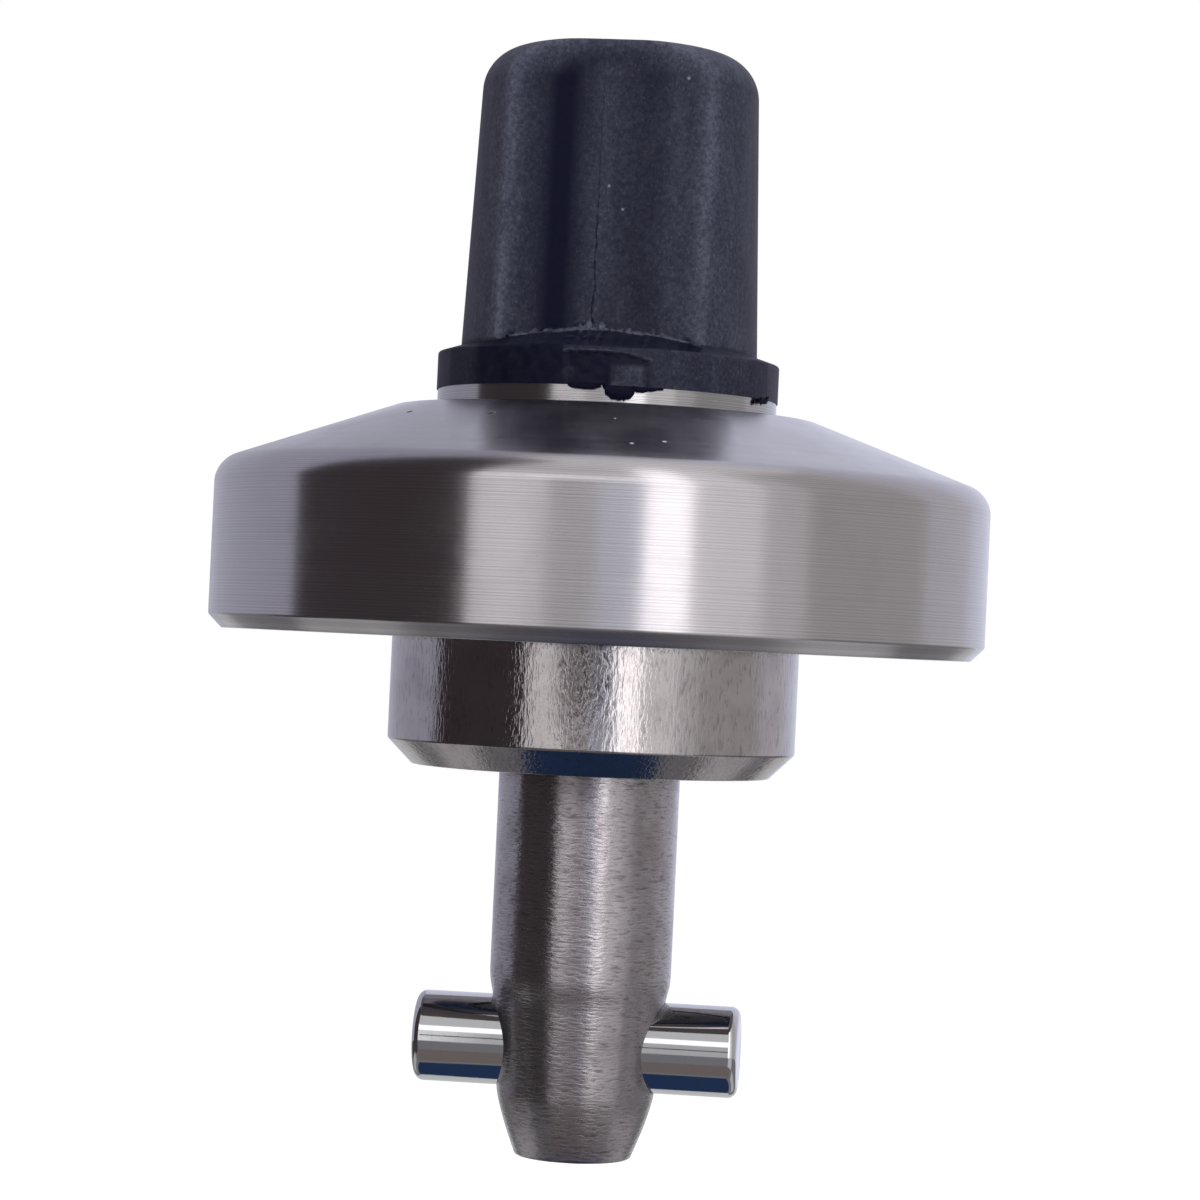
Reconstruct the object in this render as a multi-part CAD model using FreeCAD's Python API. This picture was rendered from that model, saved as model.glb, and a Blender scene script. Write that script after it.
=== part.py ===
import FreeCAD, Part
import math
import os

# Quarter-turn clamp. Millimetres.
# The origin is on the shaft's axis, in the plane of the disc's underside. +Z points to the grip,
# and the cross pin lies along X. Pressing the grip moves the spindle down along Z, and turning it
# swings the cross pin under the ledge of the receptacle.

# Disc and hub, turned from one bar
DISC_RADIUS = 34.2
DISC_HEIGHT = 20.3
CONE_ANGLE = 20.0
TOP_LAND = 3.2
RIM_FILLET = 2.5
DISC_BOTTOM_CHAMFER = 1.2
HUB_RADIUS = 18.0
HUB_LENGTH = 11.15
HUB_CHAMFER = 2.2
CAVITY_FLOOR = 1.0
BORE_CHAMFER = 0.3

# Movement
PRESS_TRAVEL = 1.5
PRESS_RESERVE = 0.1
QUARTER_TURN = 90.0

# Shaft: its length below the hub, and the nose, whose radii are given as steps in from the shaft
SHAFT_RADIUS = 8.0
SHAFT_LENGTH_BELOW_HUB = 18.55
TENON_RATIO = 0.5
TENON_CHAMFER = 0.6
NOSE_LENGTH = 15.5
NOSE_LEAD_DROP = 1.6
NOSE_LEAD_STEP = 0.4
NOSE_TAPER_DROP = 10.1
NOSE_TAPER_STEP = 1.07
NOSE_ARC_DROP = 12.4
NOSE_ARC_STEP = 1.7
NOSE_TIP_STEP = 2.9

# Cross pin
PIN_RADIUS = 4.0
PIN_LENGTH = 28.6
PIN_END_FILLET = 0.8
PIN_DROP = 5.58

# Core: ring and skirt round the spring pocket, and the stem inside the grip
POCKET_ROOM = 4.0
SKIRT_WALL = 3.0
CORE_WEB = 6.9
STEM_WALL = 2.5
STEM_KEY_CUT = 0.5
STEM_CAP = 6.9
STEM_GROOVE_DEPTH = 0.8
STEM_GROOVE_WIDTH = 3.0
STEM_GROOVE_COUNT = 3
LOCK_PIN_RADIUS = 1.25
LOCK_PIN_PROUD = 0.25

# Grip
GRIP_HEIGHT = 30.45
GRIP_CAP = 6.45
FLANGE_OVERHANG = 0.1
FLANGE_EDGE_HEIGHT = 3.25
FLANGE_LEDGE = 2.0
FLANGE_ANGLE = 18.0
FLANGE_FILLET = 0.25
GRIP_DRAFT = 2.17
GRIP_TOP_FILLET = 3.6
FLAT_CUT = 3.25
FLAT_LEAN = 2.9
GROOVE_HALF_WIDTH = 6.2
GROOVE_DEPTH = 0.6
GROOVE_END_BELOW_TOP = 4.2
CREST_FILLET_FOOT = 0.35
CREST_FILLET_TOP = 1.3

# Spring and its washers
WIRE_RADIUS = 1.0
ACTIVE_PITCH = 2.85
CLOSED_TURN_GAP = 0.05
GROUND_WIRE_CENTRE = 0.3
RINGS_PER_TURN = 20
COIL_STEP = 0.001
SEAT_THICKNESS = 0.8
THRUST_THICKNESS = 1.0

# Guide bush, stop pin, seals and retaining parts
BUSH_WALL = 1.97
BUSH_FLANGE_THICKNESS = 1.0
STOP_PIN_RADIUS = 1.25
STOP_PIN_ANGLE = 90.0
STOP_PIN_SEAT = 3.0
STOP_PIN_RISE = 4.5
CORE_SEAL_DROP = 2.3
CORE_SEAL_SECTION = 0.85
SHAFT_SEAL_GLAND = 2.6
SEAL_SIDE_ROOM = 0.25
CIRCLIP_GROOVE_DEPTH = 0.4
CIRCLIP_THICKNESS = 1.0
CIRCLIP_WALL = 2.2
CIRCLIP_LUG_RADIUS = 1.4
CIRCLIP_LUG_HOLE = 0.7
CIRCLIP_LUG_ANGLE = 16.0
CIRCLIP_GAP_ANGLE = 16.0
CIRCLIP_WASHER_THICKNESS = 1.0

# Clearances
RUNNING_FIT = 0.03
BORE_FIT = 0.05
STOP_FIT = 0.05
SEAL_FIT = 0.02
WASHER_ROOM = 0.3
GROOVE_ROOM = 0.1
RECESS_ROOM = 0.9
RECESS_RESERVE = 0.25

# Heights, from the receptacle's side up
SHAFT_BOTTOM = -HUB_LENGTH - SHAFT_LENGTH_BELOW_HUB
PIN_HEIGHT = SHAFT_BOTTOM - PIN_DROP
RECESS_DEPTH = CIRCLIP_WASHER_THICKNESS + CIRCLIP_THICKNESS + PRESS_TRAVEL + RECESS_RESERVE
RECESS_TOP = RECESS_DEPTH - HUB_LENGTH
CIRCLIP_TOP = RECESS_TOP - CIRCLIP_WASHER_THICKNESS
BUSH_BOTTOM = RECESS_TOP + SHAFT_SEAL_GLAND
BUSH_FLANGE_TOP = CAVITY_FLOOR + BUSH_FLANGE_THICKNESS
LOWER_SEAT_TOP = BUSH_FLANGE_TOP + SEAT_THICKNESS
SKIRT_BOTTOM = CAVITY_FLOOR + PRESS_TRAVEL + PRESS_RESERVE
RING_TOP = DISC_HEIGHT + PRESS_TRAVEL + PRESS_RESERVE
POCKET_TOP = RING_TOP - CORE_WEB
THRUST_BOTTOM = POCKET_TOP - THRUST_THICKNESS
UPPER_SEAT_BOTTOM = THRUST_BOTTOM - SEAT_THICKNESS
CORE_SEAL_HEIGHT = DISC_HEIGHT - CORE_SEAL_DROP
GRIP_TOP = RING_TOP + GRIP_HEIGHT
STEM_TOP = GRIP_TOP - GRIP_CAP
TENON_TOP = STEM_TOP - STEM_CAP
STEM_GROOVE_PITCH = (STEM_TOP - RING_TOP) / (STEM_GROOVE_COUNT + 1)
LOCK_PIN_HEIGHT = RING_TOP + 1.5 * STEM_GROOVE_PITCH
FLANGE_EDGE = RING_TOP + FLANGE_EDGE_HEIGHT
FLANGE_SLOPE = math.tan(math.radians(FLANGE_ANGLE))
GRIP_FOOT = FLANGE_EDGE + FLANGE_LEDGE * FLANGE_SLOPE

# Radii, from the shaft out
BUSH_BORE_RADIUS = SHAFT_RADIUS + RUNNING_FIT
BUSH_RADIUS = BUSH_BORE_RADIUS + BUSH_WALL
SHAFT_SEAL_SECTION = (BUSH_WALL - SEAL_FIT) / 2
WASHER_BORE = SHAFT_RADIUS + WASHER_ROOM
CIRCLIP_GROOVE_RADIUS = SHAFT_RADIUS - CIRCLIP_GROOVE_DEPTH
CIRCLIP_RADIUS = SHAFT_RADIUS + CIRCLIP_WALL
CIRCLIP_LUG_CIRCLE = CIRCLIP_RADIUS - CIRCLIP_LUG_HOLE / 2
RECESS_RADIUS = CIRCLIP_LUG_CIRCLE + CIRCLIP_LUG_RADIUS + RECESS_ROOM
TENON_RADIUS = SHAFT_RADIUS * TENON_RATIO
STEM_RADIUS = TENON_RADIUS + STEM_WALL
POCKET_RADIUS = SHAFT_RADIUS + POCKET_ROOM
CORE_RADIUS = POCKET_RADIUS + SKIRT_WALL
SEAT_RADIUS = POCKET_RADIUS - WASHER_ROOM
COIL_RADIUS = (SHAFT_RADIUS + POCKET_RADIUS) / 2
STOP_PIN_CIRCLE = (POCKET_RADIUS + CORE_RADIUS) / 2
BORE_RADIUS = CORE_RADIUS + BORE_FIT
DISC_TOP_RADIUS = BORE_RADIUS + BORE_CHAMFER + TOP_LAND
RIM_HEIGHT = DISC_HEIGHT - (DISC_RADIUS - DISC_TOP_RADIUS) * math.tan(math.radians(CONE_ANGLE))
FLANGE_RADIUS = CORE_RADIUS + FLANGE_OVERHANG
GRIP_FOOT_RADIUS = FLANGE_RADIUS - FLANGE_LEDGE
FLAT_DISTANCE = GRIP_FOOT_RADIUS - FLAT_CUT

ORIGIN = FreeCAD.Vector(0, 0, 0)
X_AXIS = FreeCAD.Vector(1, 0, 0)
Y_AXIS = FreeCAD.Vector(0, 1, 0)
Z_AXIS = FreeCAD.Vector(0, 0, 1)


def rounded_corner(before, corner, after, radius):
    """Return the start, middle and end of the arc that rounds a corner."""
    to_before = (before - corner).normalize()
    to_after = (after - corner).normalize()
    half_angle = to_before.getAngle(to_after) / 2
    reach = radius / math.tan(half_angle)
    inward = (to_before + to_after).normalize()
    middle = corner + inward * (radius / math.sin(half_angle) - radius)
    return corner + to_before * reach, middle, corner + to_after * reach


def section_face(points):
    """Return a face in the XZ plane from (radius, height) corners.

    A corner with a third number is rounded to that radius. The last corner stays sharp.
    """
    corners = [FreeCAD.Vector(point[0], 0, point[1]) for point in points]
    edges = []
    leaving = corners[-1]
    for index, point in enumerate(points):
        arriving = corners[index]
        arc = None
        if len(point) == 3:
            following = corners[(index + 1) % len(corners)]
            arc = rounded_corner(corners[index - 1], arriving, following, point[2])
            arriving = arc[0]
        edges.append(Part.makeLine(leaving, arriving))
        leaving = arriving
        if arc:
            edges.append(Part.Arc(*arc).toShape())
            leaving = arc[2]
    return Part.Face(Part.Wire(edges))


def turned(points):
    """Return the solid turned about Z from a closed (radius, height) outline."""
    return section_face(points).revolve(ORIGIN, Z_AXIS, 360)


def tube(inner, outer, bottom, top):
    """Return an upright ring or washer."""
    return turned([(inner, bottom), (outer, bottom), (outer, top), (inner, top)])


def rod(radius, bottom, top, x=0.0, y=0.0):
    """Return an upright round bar centred at (x, y)."""
    return Part.makeCylinder(radius, top - bottom, FreeCAD.Vector(x, y, bottom), Z_AXIS)


def ring_seal(centre_radius, section_radius, height):
    """Return a round-section seal ring."""
    return Part.makeTorus(centre_radius, section_radius, FreeCAD.Vector(0, 0, height), Z_AXIS)


def build_clamp_disc():
    """Disc with conical top, hub, bore for the core, bush seat and circlip recess."""
    body = turned([
        (BUSH_RADIUS, CAVITY_FLOOR),
        (BUSH_RADIUS, RECESS_TOP),
        (RECESS_RADIUS, RECESS_TOP),
        (RECESS_RADIUS, -HUB_LENGTH),
        (HUB_RADIUS - HUB_CHAMFER, -HUB_LENGTH),
        (HUB_RADIUS, HUB_CHAMFER - HUB_LENGTH),
        (HUB_RADIUS, 0),
        (DISC_RADIUS - DISC_BOTTOM_CHAMFER, 0),
        (DISC_RADIUS, DISC_BOTTOM_CHAMFER),
        (DISC_RADIUS, RIM_HEIGHT, RIM_FILLET),
        (DISC_TOP_RADIUS, DISC_HEIGHT),
        (BORE_RADIUS + BORE_CHAMFER, DISC_HEIGHT),
        (BORE_RADIUS, DISC_HEIGHT - BORE_CHAMFER),
        (BORE_RADIUS, CAVITY_FLOOR),
    ])
    return body.cut(build_stop_pin())


def build_guide_bush():
    """Flanged bush pressed into the hub from above."""
    return turned([
        (BUSH_BORE_RADIUS, BUSH_BOTTOM),
        (BUSH_RADIUS, BUSH_BOTTOM),
        (BUSH_RADIUS, CAVITY_FLOOR),
        (SEAT_RADIUS, CAVITY_FLOOR),
        (SEAT_RADIUS, BUSH_FLANGE_TOP),
        (BUSH_BORE_RADIUS, BUSH_FLANGE_TOP),
    ])


def build_stop_pin():
    """Dowel pressed into the cavity floor."""
    angle = math.radians(STOP_PIN_ANGLE)
    x = STOP_PIN_CIRCLE * math.cos(angle)
    y = STOP_PIN_CIRCLE * math.sin(angle)
    return rod(STOP_PIN_RADIUS, CAVITY_FLOOR - STOP_PIN_SEAT, CAVITY_FLOOR + STOP_PIN_RISE, x, y)


def stop_window():
    """Quarter-turn cut-out in the skirt's lower edge, in which the stop pin stands."""
    half_pin = math.degrees(math.asin((STOP_PIN_RADIUS + STOP_FIT) / STOP_PIN_CIRCLE))
    height = STOP_PIN_RISE + WASHER_ROOM
    inner = POCKET_RADIUS - SKIRT_WALL / 2
    outer = CORE_RADIUS + SKIRT_WALL / 2
    section = section_face([
        (inner, SKIRT_BOTTOM - height),
        (outer, SKIRT_BOTTOM - height),
        (outer, SKIRT_BOTTOM + height),
        (inner, SKIRT_BOTTOM + height),
    ])
    section.rotate(ORIGIN, Z_AXIS, STOP_PIN_ANGLE - half_pin)
    return section.revolve(ORIGIN, Z_AXIS, QUARTER_TURN + 2 * half_pin)


def lock_pin_solid():
    """Dowel across the stem and the tenon, halfway between the stem's two lower grooves."""
    half_length = STEM_RADIUS + LOCK_PIN_PROUD
    start = FreeCAD.Vector(-half_length, 0, LOCK_PIN_HEIGHT)
    return Part.makeCylinder(LOCK_PIN_RADIUS, 2 * half_length, start, X_AXIS)


def build_knob_core():
    """Plunger ring and skirt with the spring pocket, and the stem that the grip is moulded on."""
    seal_inner = CORE_RADIUS - 2 * CORE_SEAL_SECTION
    seal_half = CORE_SEAL_SECTION + SEAL_SIDE_ROOM
    core = turned([
        (TENON_RADIUS, POCKET_TOP),
        (POCKET_RADIUS, POCKET_TOP),
        (POCKET_RADIUS, SKIRT_BOTTOM),
        (CORE_RADIUS, SKIRT_BOTTOM),
        (CORE_RADIUS, CORE_SEAL_HEIGHT - seal_half),
        (seal_inner, CORE_SEAL_HEIGHT - seal_half),
        (seal_inner, CORE_SEAL_HEIGHT + seal_half),
        (CORE_RADIUS, CORE_SEAL_HEIGHT + seal_half),
        (CORE_RADIUS, RING_TOP),
        (STEM_RADIUS, RING_TOP),
        (STEM_RADIUS, STEM_TOP),
        (0, STEM_TOP),
        (0, TENON_TOP),
        (TENON_RADIUS, TENON_TOP),
    ])
    for index in range(STEM_GROOVE_COUNT):
        middle = RING_TOP + STEM_GROOVE_PITCH * (index + 1)
        bottom = middle - STEM_GROOVE_WIDTH / 2
        top = middle + STEM_GROOVE_WIDTH / 2
        core = core.cut(tube(STEM_RADIUS - STEM_GROOVE_DEPTH, CORE_RADIUS, bottom, top))
    for side in (0, 180):
        corner = FreeCAD.Vector(-CORE_RADIUS, STEM_RADIUS - STEM_KEY_CUT, RING_TOP)
        key = Part.makeBox(2 * CORE_RADIUS, CORE_RADIUS, GRIP_HEIGHT, corner)
        key.rotate(ORIGIN, Z_AXIS, side)
        core = core.cut(key)
    core = core.cut(lock_pin_solid())
    return core.cut(stop_window())


def build_shaft():
    """Shaft with its tenon, circlip groove, tapered nose and cross hole."""
    groove_bottom = CIRCLIP_TOP - CIRCLIP_THICKNESS - GROOVE_ROOM
    outline = [
        (SHAFT_RADIUS - NOSE_TIP_STEP, SHAFT_BOTTOM - NOSE_LENGTH),
        (0, SHAFT_BOTTOM - NOSE_LENGTH),
        (0, TENON_TOP),
        (TENON_RADIUS - TENON_CHAMFER, TENON_TOP),
        (TENON_RADIUS, TENON_TOP - TENON_CHAMFER),
        (TENON_RADIUS, POCKET_TOP),
        (SHAFT_RADIUS, POCKET_TOP),
        (SHAFT_RADIUS, CIRCLIP_TOP),
        (CIRCLIP_GROOVE_RADIUS, CIRCLIP_TOP),
        (CIRCLIP_GROOVE_RADIUS, groove_bottom),
        (SHAFT_RADIUS, groove_bottom),
        (SHAFT_RADIUS, SHAFT_BOTTOM),
        (SHAFT_RADIUS - NOSE_LEAD_STEP, SHAFT_BOTTOM - NOSE_LEAD_DROP),
        (SHAFT_RADIUS - NOSE_TAPER_STEP, SHAFT_BOTTOM - NOSE_TAPER_DROP),
    ]
    corners = [FreeCAD.Vector(r, 0, z) for r, z in outline]
    arc_middle = FreeCAD.Vector(SHAFT_RADIUS - NOSE_ARC_STEP, 0, SHAFT_BOTTOM - NOSE_ARC_DROP)
    nose_arc = Part.Arc(corners[-1], arc_middle, corners[0]).toShape()
    wire = Part.Wire(Part.makePolygon(corners).Edges + [nose_arc])
    shaft = Part.Face(wire).revolve(ORIGIN, Z_AXIS, 360)
    shaft = shaft.cut(cross_pin_bar())
    return shaft.cut(lock_pin_solid())


def cross_pin_bar():
    """Round bar along X through the nose."""
    start = FreeCAD.Vector(-PIN_LENGTH / 2, 0, PIN_HEIGHT)
    return Part.makeCylinder(PIN_RADIUS, PIN_LENGTH, start, X_AXIS)


def build_cross_pin():
    """Polished dowel with rounded ends that locks under the receptacle's ledge."""
    bar = cross_pin_bar()
    rims = [edge for edge in bar.Edges if isinstance(edge.Curve, Part.Circle)]
    return bar.makeFillet(PIN_END_FILLET, rims)


def build_circlip():
    """Open retaining ring with two plier lugs, in the shaft's groove."""
    top = CIRCLIP_TOP
    bottom = top - CIRCLIP_THICKNESS
    ring = tube(CIRCLIP_GROOVE_RADIUS, CIRCLIP_RADIUS, bottom, top)
    gap = section_face([
        (CIRCLIP_GROOVE_RADIUS / 2, bottom - CIRCLIP_THICKNESS),
        (RECESS_RADIUS, bottom - CIRCLIP_THICKNESS),
        (RECESS_RADIUS, top + CIRCLIP_THICKNESS),
        (CIRCLIP_GROOVE_RADIUS / 2, top + CIRCLIP_THICKNESS),
    ])
    gap.rotate(ORIGIN, Z_AXIS, -CIRCLIP_GAP_ANGLE / 2)
    gap = gap.revolve(ORIGIN, Z_AXIS, CIRCLIP_GAP_ANGLE)
    for side in (-1, 1):
        angle = math.radians(side * CIRCLIP_LUG_ANGLE)
        x = CIRCLIP_LUG_CIRCLE * math.cos(angle)
        y = CIRCLIP_LUG_CIRCLE * math.sin(angle)
        ring = ring.fuse(rod(CIRCLIP_LUG_RADIUS, bottom, top, x, y))
        ring = ring.cut(rod(CIRCLIP_LUG_HOLE, bottom, top, x, y))
    return ring.cut(gap).removeSplitter()


def coil_point(turn, active_turns):
    """Return the point of the wire's centre line after a number of turns.

    The first and the last turn are closed, and the turns between them have the active pitch.
    """
    closed_pitch = 2 * WIRE_RADIUS + CLOSED_TURN_GAP
    lower = min(turn, 1)
    active = min(max(turn - 1, 0), active_turns)
    upper = max(turn - 1 - active_turns, 0)
    rise = closed_pitch * (lower + upper) + ACTIVE_PITCH * active
    angle = 2 * math.pi * turn
    height = LOWER_SEAT_TOP + GROUND_WIRE_CENTRE + rise
    return FreeCAD.Vector(COIL_RADIUS * math.cos(angle), COIL_RADIUS * math.sin(angle), height)


def build_spring():
    """Compression spring with closed and ground ends, lofted through rings along its coil."""
    closed_pitch = 2 * WIRE_RADIUS + CLOSED_TURN_GAP
    total_rise = UPPER_SEAT_BOTTOM - LOWER_SEAT_TOP - 2 * GROUND_WIRE_CENTRE
    active_turns = (total_rise - 2 * closed_pitch) / ACTIVE_PITCH
    turns = active_turns + 2
    count = math.ceil(turns * RINGS_PER_TURN)
    rings = []
    for index in range(count + 1):
        turn = turns * index / count
        centre = coil_point(turn, active_turns)
        ahead = coil_point(turn + COIL_STEP, active_turns)
        ring = Part.Circle(centre, ahead - centre, WIRE_RADIUS)
        ring.XAxis = FreeCAD.Vector(centre.x, centre.y, 0)
        rings.append(Part.Wire(ring.toShape()))
    coil = Part.makeLoft(rings, True, True)
    return coil.common(rod(POCKET_RADIUS, LOWER_SEAT_TOP, UPPER_SEAT_BOTTOM))


def grip_radius(height):
    """Return the radius of the drafted round body at a height."""
    draft = math.tan(math.radians(GRIP_DRAFT))
    return GRIP_FOOT_RADIUS - (height - GRIP_FOOT) * draft


def round_body():
    """Drafted round body of the grip with its rounded top."""
    top_radius = grip_radius(GRIP_TOP)
    return turned([
        (0, RING_TOP),
        (grip_radius(RING_TOP), RING_TOP),
        (top_radius, GRIP_TOP, GRIP_TOP_FILLET),
        (0, GRIP_TOP),
    ])


def stand_against_grip(cutter, turn):
    """Lean a cutter that lies on the XZ plane, and stand it at the grip's flat."""
    cutter.rotate(ORIGIN, X_AXIS, FLAT_LEAN)
    cutter.translate(FreeCAD.Vector(0, FLAT_DISTANCE, RING_TOP))
    cutter.rotate(ORIGIN, Z_AXIS, turn)
    return cutter


def finger_flat_cutter(turn):
    """Slab outside one finger flat."""
    reach = 2 * FLANGE_RADIUS
    corner = FreeCAD.Vector(-reach, 0, -reach)
    slab = Part.makeBox(2 * reach, reach, 2 * reach + GRIP_HEIGHT, corner)
    return stand_against_grip(slab, turn)


def thumb_groove_cutter(turn):
    """Shallow groove down one finger flat, with a round upper end.

    Its floor curves smoothly into the flat on each side, and the round end is the same half
    section turned about the flat's outward direction.
    """
    floor = FreeCAD.Vector(0, -GROOVE_DEPTH, 0)
    flank = FreeCAD.Vector(GROOVE_HALF_WIDTH / 2, -GROOVE_DEPTH / 2, 0)
    rim = FreeCAD.Vector(GROOVE_HALF_WIDTH, 0, 0)
    curve = Part.BSplineCurve()
    curve.interpolate(Points=[floor, flank, rim], InitialTangent=X_AXIS, FinalTangent=X_AXIS)
    rim_top = FreeCAD.Vector(GROOVE_HALF_WIDTH, GROOVE_DEPTH, 0)
    floor_top = FreeCAD.Vector(0, GROOVE_DEPTH, 0)
    sides = Part.makePolygon([rim, rim_top, floor_top, floor])
    half = Part.Face(Part.Wire([curve.toShape()] + sides.Edges))
    end_height = GRIP_HEIGHT - GROOVE_END_BELOW_TOP
    half.translate(FreeCAD.Vector(0, 0, end_height))
    straight = half.extrude(FreeCAD.Vector(0, 0, -end_height))
    mirrored = straight.mirror(ORIGIN, X_AXIS)
    round_end = half.revolve(FreeCAD.Vector(0, 0, end_height), Y_AXIS, 360)
    return stand_against_grip(straight.multiFuse([mirrored, round_end]), turn)


def soften_crests(body):
    """Round the crests beside the finger flats, growing towards the top, and the arches above."""
    radii = []
    tangent_height = GRIP_TOP - 2 * GRIP_TOP_FILLET
    for index, edge in enumerate(body.Edges):
        box = edge.BoundBox
        away_from_side = min(abs(box.YMin), abs(box.YMax)) > grip_radius(GRIP_TOP) / 2
        upright = box.ZLength > GRIP_HEIGHT / 2
        rises = box.ZLength > GRIP_TOP_FILLET / 4
        arch = rises and box.ZMin > tangent_height and box.XLength > FLAT_DISTANCE
        if away_from_side and upright:
            start = edge.valueAt(edge.FirstParameter).z
            end = edge.valueAt(edge.LastParameter).z
            if start > end:
                radii.append((index + 1, CREST_FILLET_TOP, CREST_FILLET_FOOT))
            else:
                radii.append((index + 1, CREST_FILLET_FOOT, CREST_FILLET_TOP))
        elif away_from_side and arch:
            radii.append((index + 1, CREST_FILLET_TOP, CREST_FILLET_TOP))
    document = FreeCAD.newDocument()
    sharp = document.addObject("Part::Feature", "sharp")
    sharp.Shape = body
    rounded = document.addObject("Part::Fillet", "rounded")
    rounded.Base = sharp
    rounded.Edges = radii
    document.recompute()
    return rounded.Shape.copy()


def flange_skirt():
    """Conical flange that stays whole under the finger flats."""
    inner_height = FLANGE_EDGE + (FLANGE_RADIUS - STEM_RADIUS) * FLANGE_SLOPE
    return turned([
        (0, RING_TOP),
        (FLANGE_RADIUS, RING_TOP),
        (FLANGE_RADIUS, FLANGE_EDGE, FLANGE_FILLET),
        (STEM_RADIUS, inner_height),
        (0, inner_height),
    ])


def build_grip(core):
    """Rubber grip moulded on the core: round body, two finger flats and a conical flange."""
    body = round_body()
    for turn in (0, 180):
        body = body.cut(finger_flat_cutter(turn))
    body = soften_crests(body)
    for turn in (0, 180):
        body = body.cut(thumb_groove_cutter(turn))
    body = body.fuse(flange_skirt())
    stem_room = core.fuse(rod(TENON_RADIUS, POCKET_TOP, TENON_TOP))
    return body.cut(stem_room).cut(lock_pin_solid())


def build_core_seal():
    """Seal ring in the core's groove, just clear of the disc's bore."""
    return ring_seal(BORE_RADIUS - SEAL_FIT - CORE_SEAL_SECTION, CORE_SEAL_SECTION, CORE_SEAL_HEIGHT)


def build_shaft_seal():
    """Seal ring round the shaft, between the bush and the circlip's washer."""
    centre = BUSH_BORE_RADIUS + SHAFT_SEAL_SECTION
    return ring_seal(centre, SHAFT_SEAL_SECTION, (BUSH_BOTTOM + RECESS_TOP) / 2)


def save(name, shape):
    """Write one sub-part as parts/NAME.step."""
    shape.exportStep(os.path.join("parts", name + ".step"))
    print(name, "valid", shape.isValid(), "solids", len(shape.Solids), "volume", round(shape.Volume, 2))


def main():
    """Build every piece and write it."""
    os.makedirs("parts", exist_ok=True)
    core = build_knob_core()
    washer_radius = RECESS_RADIUS - WASHER_ROOM
    pieces = {
        "clamp_disc": build_clamp_disc(),
        "guide_bush": build_guide_bush(),
        "stop_pin": build_stop_pin(),
        "knob_core": core,
        "grip": build_grip(core),
        "core_lock_pin": lock_pin_solid(),
        "shaft": build_shaft(),
        "cross_pin": build_cross_pin(),
        "circlip": build_circlip(),
        "circlip_washer": tube(WASHER_BORE, washer_radius, CIRCLIP_TOP, RECESS_TOP),
        "lower_spring_seat": tube(WASHER_BORE, SEAT_RADIUS, BUSH_FLANGE_TOP, LOWER_SEAT_TOP),
        "spring": build_spring(),
        "upper_spring_seat": tube(WASHER_BORE, SEAT_RADIUS, UPPER_SEAT_BOTTOM, THRUST_BOTTOM),
        "thrust_washer": tube(WASHER_BORE, SEAT_RADIUS, THRUST_BOTTOM, POCKET_TOP),
        "plunger_oring": build_core_seal(),
        "shaft_oring": build_shaft_seal(),
    }
    for name, shape in pieces.items():
        save(name, shape)


main()
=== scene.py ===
import logging
import math
from dataclasses import dataclass, field
from enum import Enum

import bmesh
import bpy
from bmesh.types import BMesh
from bpy.types import Material, Node, NodeSocket, NodeTree, Object
from mathutils import Matrix, Vector, noise


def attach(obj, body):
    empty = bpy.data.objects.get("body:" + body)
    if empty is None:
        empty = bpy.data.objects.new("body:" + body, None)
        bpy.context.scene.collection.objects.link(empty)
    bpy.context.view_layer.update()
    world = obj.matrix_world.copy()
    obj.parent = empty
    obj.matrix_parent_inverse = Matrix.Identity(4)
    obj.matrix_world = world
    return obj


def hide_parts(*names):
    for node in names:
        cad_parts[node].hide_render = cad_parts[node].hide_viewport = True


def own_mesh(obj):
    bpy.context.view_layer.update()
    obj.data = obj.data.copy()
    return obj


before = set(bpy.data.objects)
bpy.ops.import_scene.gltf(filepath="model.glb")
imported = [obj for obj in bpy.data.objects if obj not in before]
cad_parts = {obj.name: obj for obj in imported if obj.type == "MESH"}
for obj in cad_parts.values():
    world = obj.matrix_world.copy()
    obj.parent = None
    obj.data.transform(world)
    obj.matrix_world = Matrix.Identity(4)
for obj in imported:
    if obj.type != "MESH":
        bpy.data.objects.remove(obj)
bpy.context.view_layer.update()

# Looks of the quarter-turn clamp. Sizes are in millimetres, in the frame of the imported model: the
# axis of the shaft is Z, the cross pin lies along X, and the thumb grooves face -Y and +Y.

log = logging.getLogger("clamp")

MM = 0.001
ORIGIN = (0.0, 0.0, 0.0)
AXIS_UP = (0.0, 0.0, 1.0)
SHARP_TURN = math.radians(40)
UPRIGHT_BLUR = 0.25  # anisotropic rotation that blurs reflections along the axis
TINY = 1e-5
MERGE_GAP = 1e-4
RING_TOP = 21.9  # where the steel ring ends and the rubber starts

Colour = tuple[float, float, float]
WHITE: Colour = (1.0, 1.0, 1.0)
BLACK: Colour = (0.0, 0.0, 0.0)


class Body(Enum):
    """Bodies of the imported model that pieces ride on."""

    HOUSING = "housing"
    SPINDLE = "spindle"


class Slot(Enum):
    """Material slots of the record; the new pieces here don't take them."""

    TURNED = "turned_steel"
    POLISHED = "polished_steel"
    MIRROR = "mirror_steel"
    RUBBER = "grip_rubber"
    SPRING = "spring_steel"


@dataclass(frozen=True)
class Spot:
    """Small mark on a surface, placed by its centre in millimetres."""

    x: float
    y: float
    z: float
    size: float
    core: float = 0.6


def clamp(value: float) -> float:
    """Return a value held between 0 and 1."""
    return min(1.0, max(0.0, value))


def bell(offset: float, width: float) -> float:
    """Return a hump that is 1 in its middle and fades over a width."""
    return math.exp(-((offset / width) ** 2))


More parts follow.
